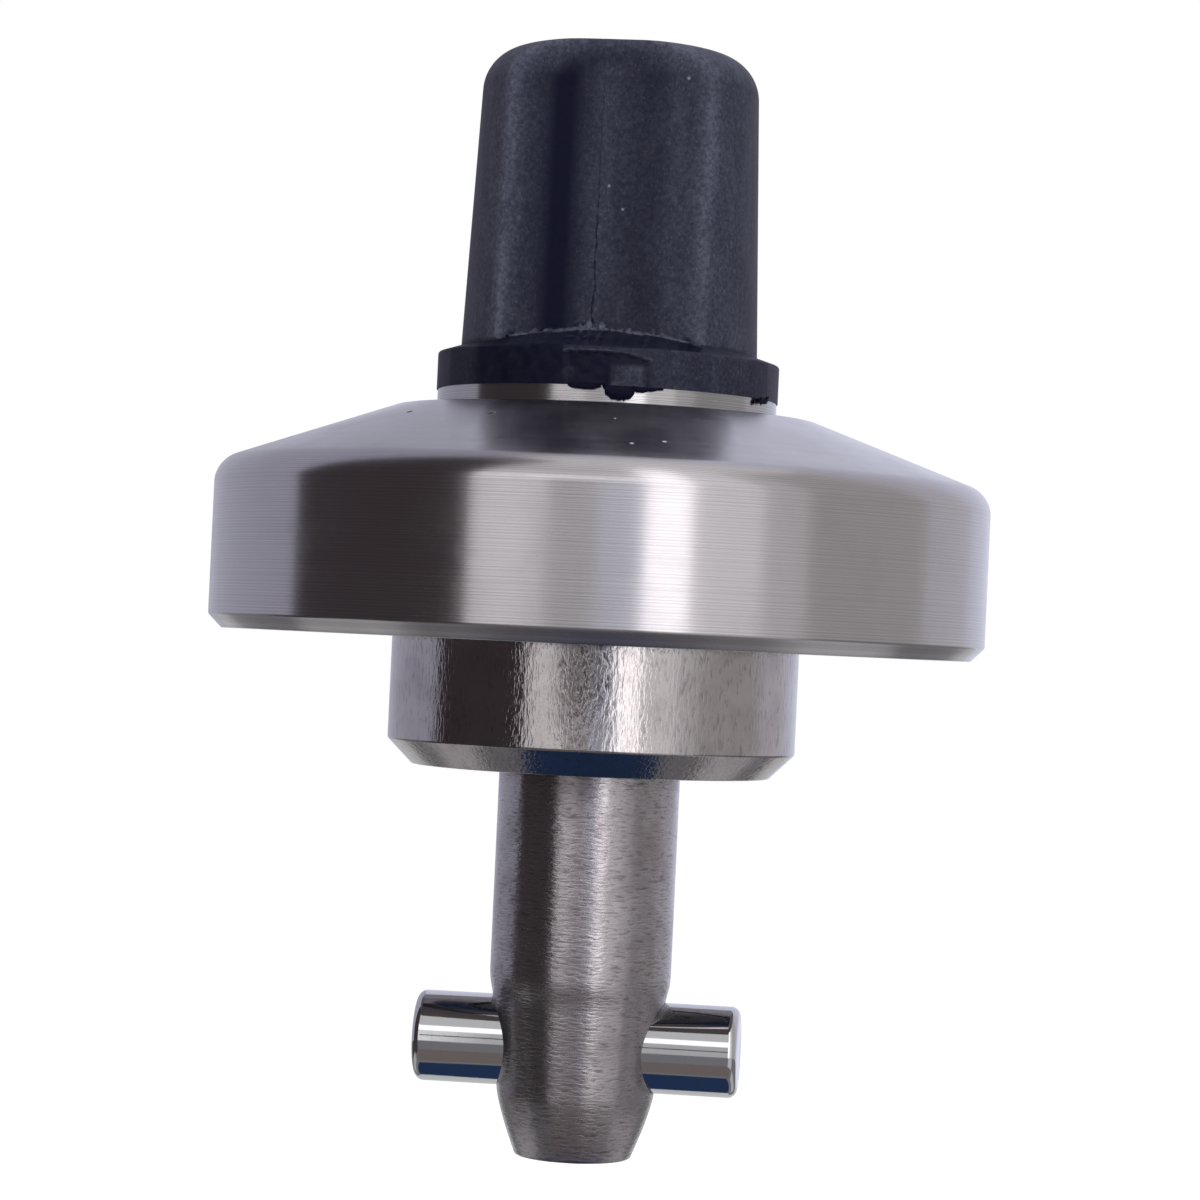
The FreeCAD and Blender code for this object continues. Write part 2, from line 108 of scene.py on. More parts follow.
def ease(value: float, width: float) -> float:
    """Return a smooth step from 0 to 1 over a width."""
    share = clamp(value / width)
    return share * share * (3.0 - 2.0 * share)


def grain(x: float, y: float, z: float) -> float:
    """Return smooth noise between about -1 and 1."""
    return noise.noise(Vector((x, y, z)))


class Graph:
    """Node tree with short calls for adding and joining nodes."""

    def __init__(self, tree: NodeTree) -> None:
        """Keep the tree.

        Args:
            tree: Node tree to add to.
        """
        self.tree = tree

    def add(self, kind: str, inputs: dict | None = None, **settings: object) -> Node:
        """Add a node.

        Args:
            kind: Blender's node type, without ShaderNode in front.
            inputs: Values or output sockets by input name or number.
            settings: Attributes of the node.

        Returns:
            The new node.
        """
        node = self.tree.nodes.new("ShaderNode" + kind)
        for name, value in settings.items():
            setattr(node, name, value)
        self.fill(node, inputs or {})
        return node

    def fill(self, node: Node, inputs: dict) -> None:
        """Set inputs of a node to values, or join output sockets to them.

        Args:
            node: Node whose inputs are filled.
            inputs: Values or output sockets by input name or number. Colours have three parts.
        """
        for name, value in inputs.items():
            socket = node.inputs[name]
            if isinstance(value, NodeSocket):
                self.tree.links.new(value, socket)
            else:
                socket.default_value = (*value, 1.0) if socket.type == "RGBA" else value

    def math(self, operation: str, *values: object) -> NodeSocket:
        """Return the output of a Math node."""
        return self.add("Math", dict(enumerate(values)), operation=operation).outputs[0]

    def product(self, first: object, *others: object) -> object:
        """Return the product of several values."""
        for other in others:
            first = self.math("MULTIPLY", first, other)
        return first

    def span(
        self, value: object, low: float, high: float, to_low: float = 0.0, to_high: float = 1.0
    ) -> NodeSocket:
        """Return a value mapped smoothly from one range to another."""
        numbers = {
            "Value": value, "From Min": low, "From Max": high, "To Min": to_low, "To Max": to_high,
        }
        node = self.add("MapRange", numbers, interpolation_type="SMOOTHSTEP", clamp=True)
        return node.outputs["Result"]

    def noise(
        self, place: object, scale: object, detail: float = 3.0, roughness: float = 0.5
    ) -> NodeSocket:
        """Return the value of a noise texture."""
        numbers = {"Vector": place, "Scale": scale, "Detail": detail, "Roughness": roughness}
        return self.add("TexNoise", numbers).outputs["Fac"]

    def noise_along(self, value: object, scale: float, detail: float) -> NodeSocket:
        """Return the value of a noise texture that follows one number."""
        numbers = {"W": value, "Scale": scale, "Detail": detail}
        return self.add("TexNoise", numbers, noise_dimensions="1D").outputs["Fac"]

    def mix(self, factor: object, first: object, second: object) -> NodeSocket:
        """Return a blend of two colours."""
        node = self.add("Mix", data_type="RGBA")
        self.fill(node, {"Factor": factor, 6: first, 7: second})
        return node.outputs[2]

    def place(self, scale: tuple[float, float, float] = (1.0, 1.0, 1.0)) -> NodeSocket:
        """Return Object coordinates in millimetres, stretched by a scale."""
        source = self.add("TexCoord").outputs["Object"]
        factors = tuple(number / MM for number in scale)
        return self.add("Mapping", {"Vector": source, "Scale": factors}).outputs["Vector"]

    def axes(self) -> bpy.types.bpy_prop_collection:
        """Return Object coordinates in millimetres as three single numbers."""
        return self.add("SeparateXYZ", {0: self.place()}).outputs

    def effect(self, tree: NodeTree, **inputs: float) -> bpy.types.bpy_prop_collection:
        """Add a shared node group and return its outputs."""
        return self.add("Group", inputs, node_tree=tree).outputs

    def bump(self, height: object, depth: float) -> NodeSocket:
        """Return the normal of a height that is scaled to a depth in millimetres."""
        numbers = {"Height": height, "Distance": depth * MM, "Strength": 1.0}
        return self.add("Bump", numbers).outputs["Normal"]

    def spots(self, marks: tuple[Spot, ...]) -> object:
        """Return a mask that is 1 on each small mark."""
        place = self.place()
        total: object = 0.0
        for mark in marks:
            ends = {0: place, 1: (mark.x, mark.y, mark.z)}
            gap = self.add("VectorMath", ends, operation="DISTANCE").outputs["Value"]
            total = self.math("MAXIMUM", self.span(gap, mark.size, mark.size * mark.core), total)
        return total


def new_group(name: str, inputs: dict[str, float], *outputs: str) -> tuple[Graph, dict, Node]:
    """Make a shader node group with single numbers as inputs and outputs.

    Args:
        name: Name of the group.
        inputs: Start value of each input.
        outputs: Name of each output.

    Returns:
        The group's graph, its input sockets by name and the node that takes its outputs.
    """
    tree = bpy.data.node_groups.new(name, "ShaderNodeTree")
    for label, value in inputs.items():
        socket = tree.interface.new_socket(label, in_out="INPUT", socket_type="NodeSocketFloat")
        socket.default_value = value
    for label in outputs:
        tree.interface.new_socket(label, in_out="OUTPUT", socket_type="NodeSocketFloat")
    given = tree.nodes.new("NodeGroupInput").outputs
    return Graph(tree), given, tree.nodes.new("NodeGroupOutput")


class Effects:
    """Node groups that several finishes share, each built once."""

    def __init__(self) -> None:
        """Build every group."""
        self.turning = self.build_turning()
        self.scratches = self.build_scratches()
        self.mottle = self.build_mottle()

    @staticmethod
    def build_turning() -> NodeTree:
        """Return the group of fine lines left by turning, which follow height and radius."""
        inputs = {"Pitch": 0.2, "Regular": 0.15}
        graph, given, out = new_group("turning_lines", inputs, "Lines", "Bands")
        x, y, z = graph.axes()
        squares = graph.math("ADD", graph.math("POWER", x, 2.0), graph.math("POWER", y, 2.0))
        along = graph.math("MULTIPLY_ADD", z, -0.8, graph.math("SQRT", squares))
        turns = graph.math("DIVIDE", along, given["Pitch"])
        wave = graph.math("SINE", graph.product(turns, math.tau))
        regular = graph.math("MULTIPLY_ADD", wave, 0.5, 0.5)
        fine = graph.noise_along(turns, 2.3, 4.0)
        blend = graph.math("SUBTRACT", regular, fine)
        lines = graph.math("MULTIPLY_ADD", blend, given["Regular"], fine)
        graph.fill(out, {"Lines": lines, "Bands": graph.noise_along(along, 0.9, 2.0)})
        return graph.tree

    @staticmethod
    def build_scratches() -> NodeTree:
        """Return the group of dense short marks, with how many fit a millimetre each way."""
        inputs = {"Across": 1.0, "Along": 1.0}
        graph, given, out = new_group("rubbing_marks", inputs, "Scratches", "Grooves", "Haze")
        sizes = {0: given["Across"], 1: given["Across"], 2: given["Along"]}
        stretch = graph.add("CombineXYZ", sizes).outputs[0]
        place = graph.add("VectorMath", {0: graph.place(), 1: stretch}, operation="MULTIPLY")
        fine = graph.noise(place.outputs[0], 1.0, 3.0, 0.55)
        rare = graph.noise(place.outputs[0], 0.43, 2.0, 0.5)
        scratches = graph.math("MAXIMUM", graph.span(fine, 0.55, 0.7), graph.span(rare, 0.64, 0.74))
        grooves = graph.math("SUBTRACT", 1.0, graph.span(fine, 0.35, 0.65))
        haze = graph.noise(graph.place((0.3, 0.3, 0.3)), 1.0, 4.0, 0.6)
        graph.fill(out, {"Scratches": scratches, "Grooves": grooves, "Haze": haze})
        return graph.tree

    @staticmethod
    def build_mottle() -> NodeTree:
        """Return the group of soft handling marks and fine grain at two sizes."""
        graph, given, out = new_group("handling_mottle", {"Size": 3.0}, "Patches", "Grain")
        scale = graph.math("DIVIDE", 1.0, given["Size"])
        patches = graph.noise(graph.place(), scale, 5.0, 0.6)
        graph.fill(out, {"Patches": patches, "Grain": graph.noise(graph.place(), 9.0, 2.0, 0.5)})
        return graph.tree


def new_material(name: str) -> tuple[Material, Graph, Node]:
    """Return a new material, its graph and its shader."""
    material = bpy.data.materials.new(name)
    material.use_nodes = True
    tree = material.node_tree
    return material, Graph(tree), tree.nodes["Principled BSDF"]


@dataclass(frozen=True)
class Finish:
    """Base of every finish: a name and the plain numbers of its shader."""

    name: str
    metallic: float = 0.0
    specular: float = 0.5
    stretch: float = 0.0

    def make(self, effects: Effects) -> Material:
        """Return the finished material.

        Args:
            effects: Shared node groups.

        Returns:
            The new material.
        """
        material, graph, shader = new_material(self.name)
        constants = {"Metallic": self.metallic, "Specular IOR Level": self.specular}
        if self.stretch:
            tangent = graph.add("Tangent", direction_type="RADIAL", axis="Z").outputs["Tangent"]
            constants |= {"Anisotropic": self.stretch, "Anisotropic Rotation": UPRIGHT_BLUR}
            constants["Tangent"] = tangent
        graph.fill(shader, constants)
        graph.fill(shader, self.dress(graph, effects))
        return material

    def dress(self, graph: Graph, effects: Effects) -> dict[str, object]:
        """Return what feeds the shader, by input name."""
        raise NotImplementedError


@dataclass(frozen=True)
class TurnedSteel(Finish):
    """Stainless steel with the fine lines of the lathe, some handling marks and a few pits.

    The lines blur its reflections up and down, so that they look like upright bands. Above
    top_from it is smoother, by top_share.
    """

    metallic: float = 1.0
    stretch: float = 0.85
    light: Colour = (0.47, 0.448, 0.466)
    dark: Colour = (0.38, 0.356, 0.37)
    pitch: float = 0.2
    depth: float = 0.0006
    smooth: float = 0.2
    rough: float = 0.25
    band_rough: float = 0.04
    patch_size: float = 5.0
    patch_share: float = 0.3
    top_from: float = 100.0
    top_share: float = 0.8
    top_blend: float = 0.6
    pits: tuple[Spot, ...] = ()
    pit_colour: Colour = (0.03, 0.028, 0.026)
    pit_depth: float = 60.0
    specks: tuple[Spot, ...] = ()
    speck_colour: Colour = (0.6, 0.6, 0.6)

    def dress(self, graph: Graph, effects: Effects) -> dict[str, object]:
        """Return lathe lines, patches, pits and specks."""
        turning = graph.effect(effects.turning, Pitch=self.pitch)
        patches = graph.effect(effects.mottle, Size=self.patch_size)["Patches"]
        lines = turning["Lines"]
        base = graph.mix(graph.span(lines, 0.25, 0.75), self.dark, self.light)
        base = graph.mix(graph.span(patches, 0.5, 0.8, 0.0, self.patch_share), base, self.dark)
        pits = graph.spots(self.pits)
        specks = graph.spots(self.specks)
        base = graph.mix(specks, graph.mix(pits, base, self.pit_colour), self.speck_colour)
        rough = graph.span(patches, 0.35, 0.7, self.smooth, self.rough)
        rough = graph.math("MULTIPLY_ADD", turning["Bands"], self.band_rough, rough)
        low, high = self.top_from - self.top_blend, self.top_from + self.top_blend
        rough = graph.product(rough, graph.span(graph.axes()[2], low, high, 1.0, self.top_share))
        height = graph.math("SUBTRACT", lines, graph.product(pits, self.pit_depth))
        return {
            "Base Color": base,
            "Metallic": graph.math("SUBTRACT", 1.0, graph.math("MAXIMUM", pits, specks)),
            "Roughness": graph.math("MAXIMUM", rough, pits),
            "Normal": graph.bump(height, self.depth),
        }


@dataclass(frozen=True)
class MarkedSteel(Finish):
    """Steel under dense short marks and haze, rubbed by its receptacle or polished by hand."""

    metallic: float = 1.0
    light: Colour = (0.395, 0.366, 0.372)
    dark: Colour = (0.2, 0.175, 0.18)
    across: float = 3.4
    along: float = 0.95
    mark_share: float = 0.55
    haze_share: float = 0.35
    smooth: float = 0.06
    rough: float = 0.12
    mark_rough: float = 0.0
    depth: float = 0.007

    def dress(self, graph: Graph, effects: Effects) -> dict[str, object]:
        """Return marks and haze."""
        marks = graph.effect(effects.scratches, Across=self.across, Along=self.along)
        scratches, haze = marks["Scratches"], marks["Haze"]
        base = graph.mix(graph.product(scratches, self.mark_share), self.light, self.dark)
        rough = graph.span(haze, 0.3, 0.7, self.smooth, self.rough)
        return {
            "Base Color": graph.mix(
                graph.span(haze, 0.4, 0.75, 0.0, self.haze_share), base, self.dark
            ),
            "Roughness": graph.math("MULTIPLY_ADD", scratches, self.mark_rough, rough),
            "Normal": graph.bump(marks["Grooves"], self.depth),
        }


@dataclass(frozen=True)
class MirrorPin(Finish):
    """Ground and polished dowel, almost a mirror, with faint grinding lines along its turn."""

    metallic: float = 1.0
    light: Colour = (0.52, 0.52, 0.54)
    dark: Colour = (0.36, 0.36, 0.38)
    line_scale: tuple[float, float, float] = (7.0, 0.3, 0.3)
    line_share: float = 0.25
    smooth: float = 0.05
    rough: float = 0.11
    depth: float = 0.0002

    def dress(self, graph: Graph, effects: Effects) -> dict[str, object]:
        """Return faint grinding lines and smudges."""
        lines = graph.noise(graph.place(self.line_scale), 1.0, 3.0, 0.5)
        smudge = graph.noise(graph.place(), 0.5, 4.0, 0.6)
        faint = graph.span(lines, 0.55, 0.8, 0.0, self.line_share)
        return {
            "Base Color": graph.mix(faint, self.light, self.dark),
            "Roughness": graph.span(smudge, 0.35, 0.75, self.smooth, self.rough),
            "Normal": graph.bump(lines, self.depth),
        }


@dataclass(frozen=True)
class MouldedRubber(Finish):
    """Matte black rubber with a blue cast, a fine grain, dust, painted shade and light, pale crests
    worn low on the left, and a smooth torn patch.

    The piece's dust attribute, which also holds painted shade and highlights, says how pale the
    skin is, and its attribute gloss how smooth.
    """

    specular: float = 0.07
    deep: Colour = (0.0022, 0.0025, 0.012)
    dust_and_light_colour: Colour = (0.086, 0.089, 0.128)
    scuff_colour: Colour = (0.14, 0.143, 0.175)
    scuff_across: float = 5.5
    scuff_along: float = 3.2
    scuff_share: float = 0.55
    seam_x: float = -0.65
    seam_wander: float = 0.4
    seam_foot: float = 27.2
    seam_top: float = 49.5
    seam_share: float = 0.75
    specks: tuple[Spot, ...] = ()
    speck_colour: Colour = (0.16, 0.16, 0.18)
    patch_size: float = 0.4
    wide_scale: tuple[float, float, float] = (0.45, 0.45, 0.16)
    smooth: float = 0.5
    rough: float = 0.62
    gloss_share: float = -0.2
    grain_share: float = 0.5
    depth: float = 0.008

    def dress(self, graph: Graph, effects: Effects) -> dict[str, object]:
        """Return grain, dust with painted shade and light, pale crests, pale specks and the torn
        patch's gloss.
        """
        mottle = graph.effect(effects.mottle, Size=self.patch_size)
        marks = graph.effect(effects.scratches, Across=self.scuff_across, Along=self.scuff_along)
        # This attribute holds dust together with painted shade and light, mixed into the base
        # colour.
        dust_and_painted_light = graph.add("Attribute", attribute_name="dust_and_painted_light").outputs["Fac"]
        gloss = graph.add("Attribute", attribute_name="gloss").outputs["Fac"]
        patches = mottle["Patches"]
        wide = graph.span(graph.noise(graph.place(self.wide_scale), 1.0), 0.3, 0.7, 0.85, 1.15)
        spread = graph.product(graph.span(patches, 0.3, 0.7, 0.65, 1.35), wide)
        level = graph.math("MINIMUM", graph.product(dust_and_painted_light, spread), 1.0)
        scuffed = graph.product(marks["Scratches"], dust_and_painted_light, self.scuff_share)
        base = graph.mix(scuffed, graph.mix(level, self.deep, self.dust_and_light_colour), self.scuff_colour)
        base = graph.mix(graph.product(self.seam(graph), self.seam_share), base, self.deep)
        dull = graph.span(patches, 0.3, 0.7, self.smooth, self.rough)
        height = graph.math("MULTIPLY_ADD", mottle["Grain"], self.grain_share, patches)
        return {
            "Base Color": graph.mix(graph.spots(self.specks), base, self.speck_colour),
            "Roughness": graph.math("MULTIPLY_ADD", gloss, self.gloss_share, dull),
            "Normal": graph.bump(height, self.depth),
        }

    def seam(self, graph: Graph) -> object:
        """Return a mask of the thin, broken line that the mould left down the front."""
        across, depth, height = graph.axes()
        start = self.seam_x - self.seam_wander / 2
        wander = graph.noise_along(height, 0.5, 3.0)
        middle = graph.math("MULTIPLY_ADD", wander, self.seam_wander, start)
        gap = graph.math("ABSOLUTE", graph.math("SUBTRACT", across, middle))
        width = graph.span(graph.noise_along(height, 1.3, 2.0), 0.35, 0.65, 0.03, 0.11)
        return graph.product(
            graph.math("LESS_THAN", gap, width),
            graph.math("LESS_THAN", depth, 0.0),
            graph.math("GREATER_THAN", height, self.seam_foot),
            graph.math("LESS_THAN", height, self.seam_top),
            graph.span(height, 35.0, 44.0, 1.0, 0.35),
        )


@dataclass(frozen=True)
class PlainMetal(Finish):
    """Clean metal of an inner piece, with fine grain."""

    metallic: float = 1.0
    colour: Colour = (0.5, 0.5, 0.5)
    shade: float = 0.75
    rough: float = 0.3
    rough_spread: float = 0.1
    patch_size: float = 1.5
    depth: float = 0.003

    def dress(self, graph: Graph, effects: Effects) -> dict[str, object]:
        """Return grain in colour and gloss."""
        mottle = graph.effect(effects.mottle, Size=self.patch_size)
        darker = tuple(part * self.shade for part in self.colour)
        rougher = self.rough + self.rough_spread
        return {
            "Base Color": graph.mix(graph.span(mottle["Patches"], 0.3, 0.7), self.colour, darker),
            "Roughness": graph.span(mottle["Grain"], 0.3, 0.7, self.rough, rougher),
            "Normal": graph.bump(mottle["Grain"], self.depth),
        }


@dataclass(frozen=True)
class SealRubber(Finish):
    """Smooth black rubber of the seal rings."""

    dark: Colour = (0.012, 0.012, 0.012)
    light: Colour = (0.03, 0.03, 0.03)
    smooth: float = 0.4
    rough: float = 0.5

    def dress(self, graph: Graph, effects: Effects) -> dict[str, object]:
        """Return faint mottling."""
        patches = graph.effect(effects.mottle)["Patches"]
        return {
            "Base Color": graph.mix(patches, self.dark, self.light),
            "Roughness": graph.span(patches, 0.3, 0.7, self.smooth, self.rough),
        }


@dataclass(frozen=True)
class Corner:
    """Corner of a turned outline, in millimetres, with the length that its rounding takes."""

    radius: float
    height: float
    cut: float = 0.0
    segments: int = 3


def mark_sharp(bm: BMesh) -> None:
    """Mark the edges at which the shading breaks."""
    for edge in bm.edges:
        edge.smooth = len(edge.link_faces) != 2 or edge.calc_face_angle() < SHARP_TURN


def link_mesh(bm: BMesh, name: str) -> Object:
    """Turn a bmesh, which is freed, into a linked object."""
    mesh = bpy.data.meshes.new(name)
    bm.to_mesh(mesh)
    bm.free()
    piece = bpy.data.objects.new(name, mesh)
    bpy.context.scene.collection.objects.link(piece)
    return piece


def apply_modifiers(piece: Object) -> None:
    """Bake a piece's modifiers into its mesh."""
    bpy.context.view_layer.update()
    evaluated = piece.evaluated_get(bpy.context.evaluated_depsgraph_get())
    mesh = bpy.data.meshes.new_from_object(evaluated)
    piece.modifiers.clear()
    piece.data = mesh


def finish_mesh(bm: BMesh, name: str, flat_weight: bool = True) -> Object:
    """Turn a bmesh in millimetres into a smooth object in metres.

    Args:
        bm: Finished bmesh, which is freed.
        name: Name of the object.
        flat_weight: True to keep large faces flat in the shading.

    Returns:
        The linked object.
    """
    bmesh.ops.remove_doubles(bm, verts=bm.verts, dist=TINY)
    bmesh.ops.recalc_face_normals(bm, faces=bm.faces)
    bmesh.ops.scale(bm, vec=(MM, MM, MM), verts=bm.verts)
    for face in bm.faces:
        face.smooth = True
    mark_sharp(bm)
    piece = link_mesh(bm, name)
    if flat_weight:
        modifier = piece.modifiers.new("weighted", "WEIGHTED_NORMAL")
        modifier.weight = 100
        modifier.keep_sharp = True
        apply_modifiers(piece)
    return piece


def spin(bm: BMesh, geometry: list, steps: int, angle: float = math.tau) -> None:
    """Spin an outline about Z, and join the ends of a full turn."""
    full = angle == math.tau
    bmesh.ops.spin(
        bm, geom=geometry, cent=ORIGIN, axis=AXIS_UP, angle=angle, steps=steps, use_merge=full
    )


def turn_outline(corners: list[Corner], steps: int, closed: bool = True) -> BMesh:
    """Turn an outline about Z.

    Args:
        corners: Corners of the outline in order.
        steps: Number of steps of the full turn.
        closed: True where the last corner joins the first.

    Returns:
        A bmesh in millimetres.
    """
    bm = bmesh.new()
    points = [bm.verts.new((corner.radius, 0.0, corner.height)) for corner in corners]
    for first, second in zip(points, points[1:]):
        bm.edges.new((first, second))
    if closed:
        bm.edges.new((points[-1], points[0]))
    for corner, point in zip(corners, points):
        if corner.cut:
            bmesh.ops.bevel(
                bm,
                geom=[point],
                offset=corner.cut,
                offset_type="OFFSET",
                segments=corner.segments,
                profile=0.5,
                affect="VERTICES",
                material=-1,
            )
    spin(bm, bm.verts[:] + bm.edges[:], steps)
    bmesh.ops.remove_doubles(bm, verts=bm.verts, dist=MERGE_GAP)
    bmesh.ops.dissolve_degenerate(bm, dist=TINY, edges=bm.edges)
    return bm


def settle(piece: Object, materials: list[Material], body: Body) -> None:
    """Give a new piece its finishes and body, and report it."""
    for material in materials:
        piece.data.materials.append(material)
    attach(piece, body.value)
    log.info("%s: %d faces on %s", piece.name, len(piece.data.polygons), body.value)


@dataclass
class Housing:
    """Disc and hub, turned from one bar."""

    disc_radius: float = 34.2
    disc_height: float = 20.3
    rim_height: float = 14.586
    rim_cut: float = 1.75
    top_radius: float = 18.55
    bottom_chamfer: float = 1.2
    bore_radius: float = 15.05
    bore_chamfer: float = 0.3
    cavity_floor: float = 1.0
    bush_radius: float = 10.0
    recess_top: float = -7.4
    recess_radius: float = 12.15
    hub_radius: float = 18.0
    hub_length: float = 11.15
    hub_chamfer: float = 2.2
    steps: int = 288
    finish: TurnedSteel = field(default_factory=lambda: TurnedSteel(
        "lathe_steel",
        top_from=15.5,
        pits=(
            Spot(-7.35, -21.44, 18.82, 0.42),
            Spot(-14.97, -16.55, 18.96, 0.36),
            Spot(-25.92, -12.07, 16.6, 0.36),
        ),
        specks=(
            Spot(3.14, -22.79, 18.68, 0.11),
            Spot(5.21, -28.91, 16.35, 0.22),
            Spot(7.71, -27.44, 16.68, 0.24),
        ),
    ))
    hub_finish: MarkedSteel = field(default_factory=lambda: MarkedSteel("rubbed_steel"))

    def outline(self) -> list[Corner]:
        """Return the outline of disc and hub."""
        return [
            Corner(self.bush_radius, self.cavity_floor),
            Corner(self.bush_radius, self.recess_top),
            Corner(self.recess_radius, self.recess_top),
            Corner(self.recess_radius, -self.hub_length, 0.1, 2),
            Corner(self.hub_radius - self.hub_chamfer, -self.hub_length, 0.12),
            Corner(self.hub_radius, self.hub_chamfer - self.hub_length, 0.14),
            Corner(self.hub_radius, 0.0),
            Corner(self.disc_radius - self.bottom_chamfer, 0.0, 0.1),
            Corner(self.disc_radius, self.bottom_chamfer, 0.14),
            Corner(self.disc_radius, self.rim_height, self.rim_cut, 10),
            Corner(self.top_radius, self.disc_height, 0.2),
            Corner(self.bore_radius + self.bore_chamfer, self.disc_height, 0.06, 2),
            Corner(self.bore_radius, self.disc_height - self.bore_chamfer, 0.06, 2),
            Corner(self.bore_radius, self.cavity_floor),
        ]

    def build(self, effects: Effects) -> None:
        """Build and dress the disc with its hub."""
        bm = turn_outline(self.outline(), self.steps)
        for face in bm.faces:
            middle = face.calc_center_median()
            outside = math.hypot(middle.x, middle.y) > self.recess_radius
            face.material_index = 1 if outside and middle.z < -0.01 else 0
        piece = finish_mesh(bm, "disc_and_hub")
        finishes = [self.finish.make(effects), self.hub_finish.make(effects)]
        settle(piece, finishes, Body.HOUSING)
        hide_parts("clamp_disc")


@dataclass
class Shaft:
    """Polished shaft with its nose, tenon and circlip groove, and the cross pin."""

    radius: float = 8.0
    bottom: float = -29.7
    pocket_top: float = 15.0
    tenon_radius: float = 4.0
    tenon_top: float = 39.0
    tenon_chamfer: float = 0.6
    groove_radius: float = 7.6
    groove_top: float = -8.4
    groove_width: float = 1.1
    nose: tuple = ((7.6, 1.6), (6.93, 10.1), (6.3, 12.4), (5.1, 15.5))
    steps: int = 256
    pin_radius: float = 4.0
    pin_length: float = 28.6
    pin_fillet: float = 0.8
    pin_height: float = -35.28
    pin_gap: float = 0.03
    pin_steps: int = 192
    hole_steps: int = 128
    finish: MarkedSteel = field(default_factory=lambda: MarkedSteel(
        "hand_polished_steel",
        stretch=0.75,
        light=(0.38, 0.35, 0.37),
        dark=(0.14, 0.112, 0.12),
        across=0.95,
        along=4.8,
        mark_share=0.65,
        smooth=0.22,
        rough=0.3,
        mark_rough=0.06,
        depth=0.013,
    ))
    pin_finish: MirrorPin = field(default_factory=lambda: MirrorPin("mirror_dowel_steel"))

    def outline(self) -> list[Corner]:
        """Return the outline of the shaft from its tenon down to the tip."""
        lead, taper, arc, tip = ((radius, self.bottom - drop) for radius, drop in self.nose)
        groove_bottom = self.groove_top - self.groove_width
        return [
            Corner(0.0, self.tenon_top),
            Corner(self.tenon_radius - self.tenon_chamfer, self.tenon_top),
            Corner(self.tenon_radius, self.tenon_top - self.tenon_chamfer),
            Corner(self.tenon_radius, self.pocket_top),
            Corner(self.radius, self.pocket_top),
            Corner(self.radius, self.groove_top),
            Corner(self.groove_radius, self.groove_top),
            Corner(self.groove_radius, groove_bottom),
            Corner(self.radius, groove_bottom),
            Corner(self.radius, self.bottom, 0.75, 6),
            Corner(*lead, 0.75, 6),
            Corner(*taper, 0.6, 4),
            Corner(*arc, 1.1, 6),
            Corner(*tip, 0.25, 4),
            Corner(0.0, tip[1]),
        ]

    def bar(self, radius: float, fillet: float, steps: int) -> BMesh:
        """Return a round bar as long as the cross pin and lying where it lies.

        Args:
            radius: Radius of the bar.
            fillet: Length that the rounding of its ends takes.
            steps: Number of steps round it.

        Returns:
            A bmesh in millimetres.
        """
        half = self.pin_length / 2
        bm = turn_outline([
            Corner(0.0, half),
            Corner(radius, half, fillet, 8),
            Corner(radius, -half, fillet, 8),
            Corner(0.0, -half),
        ], steps, closed=False)
        flat = Matrix.Rotation(math.pi / 2, 3, "Y")
        bmesh.ops.rotate(bm, verts=bm.verts, cent=ORIGIN, matrix=flat)
        bmesh.ops.translate(bm, verts=bm.verts, vec=(0, 0, self.pin_height))
        return bm

    def build(self, effects: Effects) -> None:
        """Build and dress the shaft and the pin."""
        bm = turn_outline(self.outline(), self.steps, closed=False)
        shaft = finish_mesh(bm, "polished_shaft", False)
        hole = self.bar(self.pin_radius + self.pin_gap, 0.0, self.hole_steps)
        cutter = finish_mesh(hole, "hole_cutter", False)
        modifier = shaft.modifiers.new("cross_hole", "BOOLEAN")
        modifier.object = cutter
        modifier.operation = "DIFFERENCE"
        modifier.solver = "EXACT"
        apply_modifiers(shaft)
        bpy.data.objects.remove(cutter)
        bm = bmesh.new()
        bm.from_mesh(shaft.data)
        mark_sharp(bm)
        bm.to_mesh(shaft.data)
        bm.free()
        settle(shaft, [self.finish.make(effects)], Body.SPINDLE)
        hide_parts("shaft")
        pin = finish_mesh(self.bar(self.pin_radius, self.pin_fillet, self.pin_steps), "mirror_pin")
        settle(pin, [self.pin_finish.make(effects)], Body.SPINDLE)
        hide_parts("cross_pin")


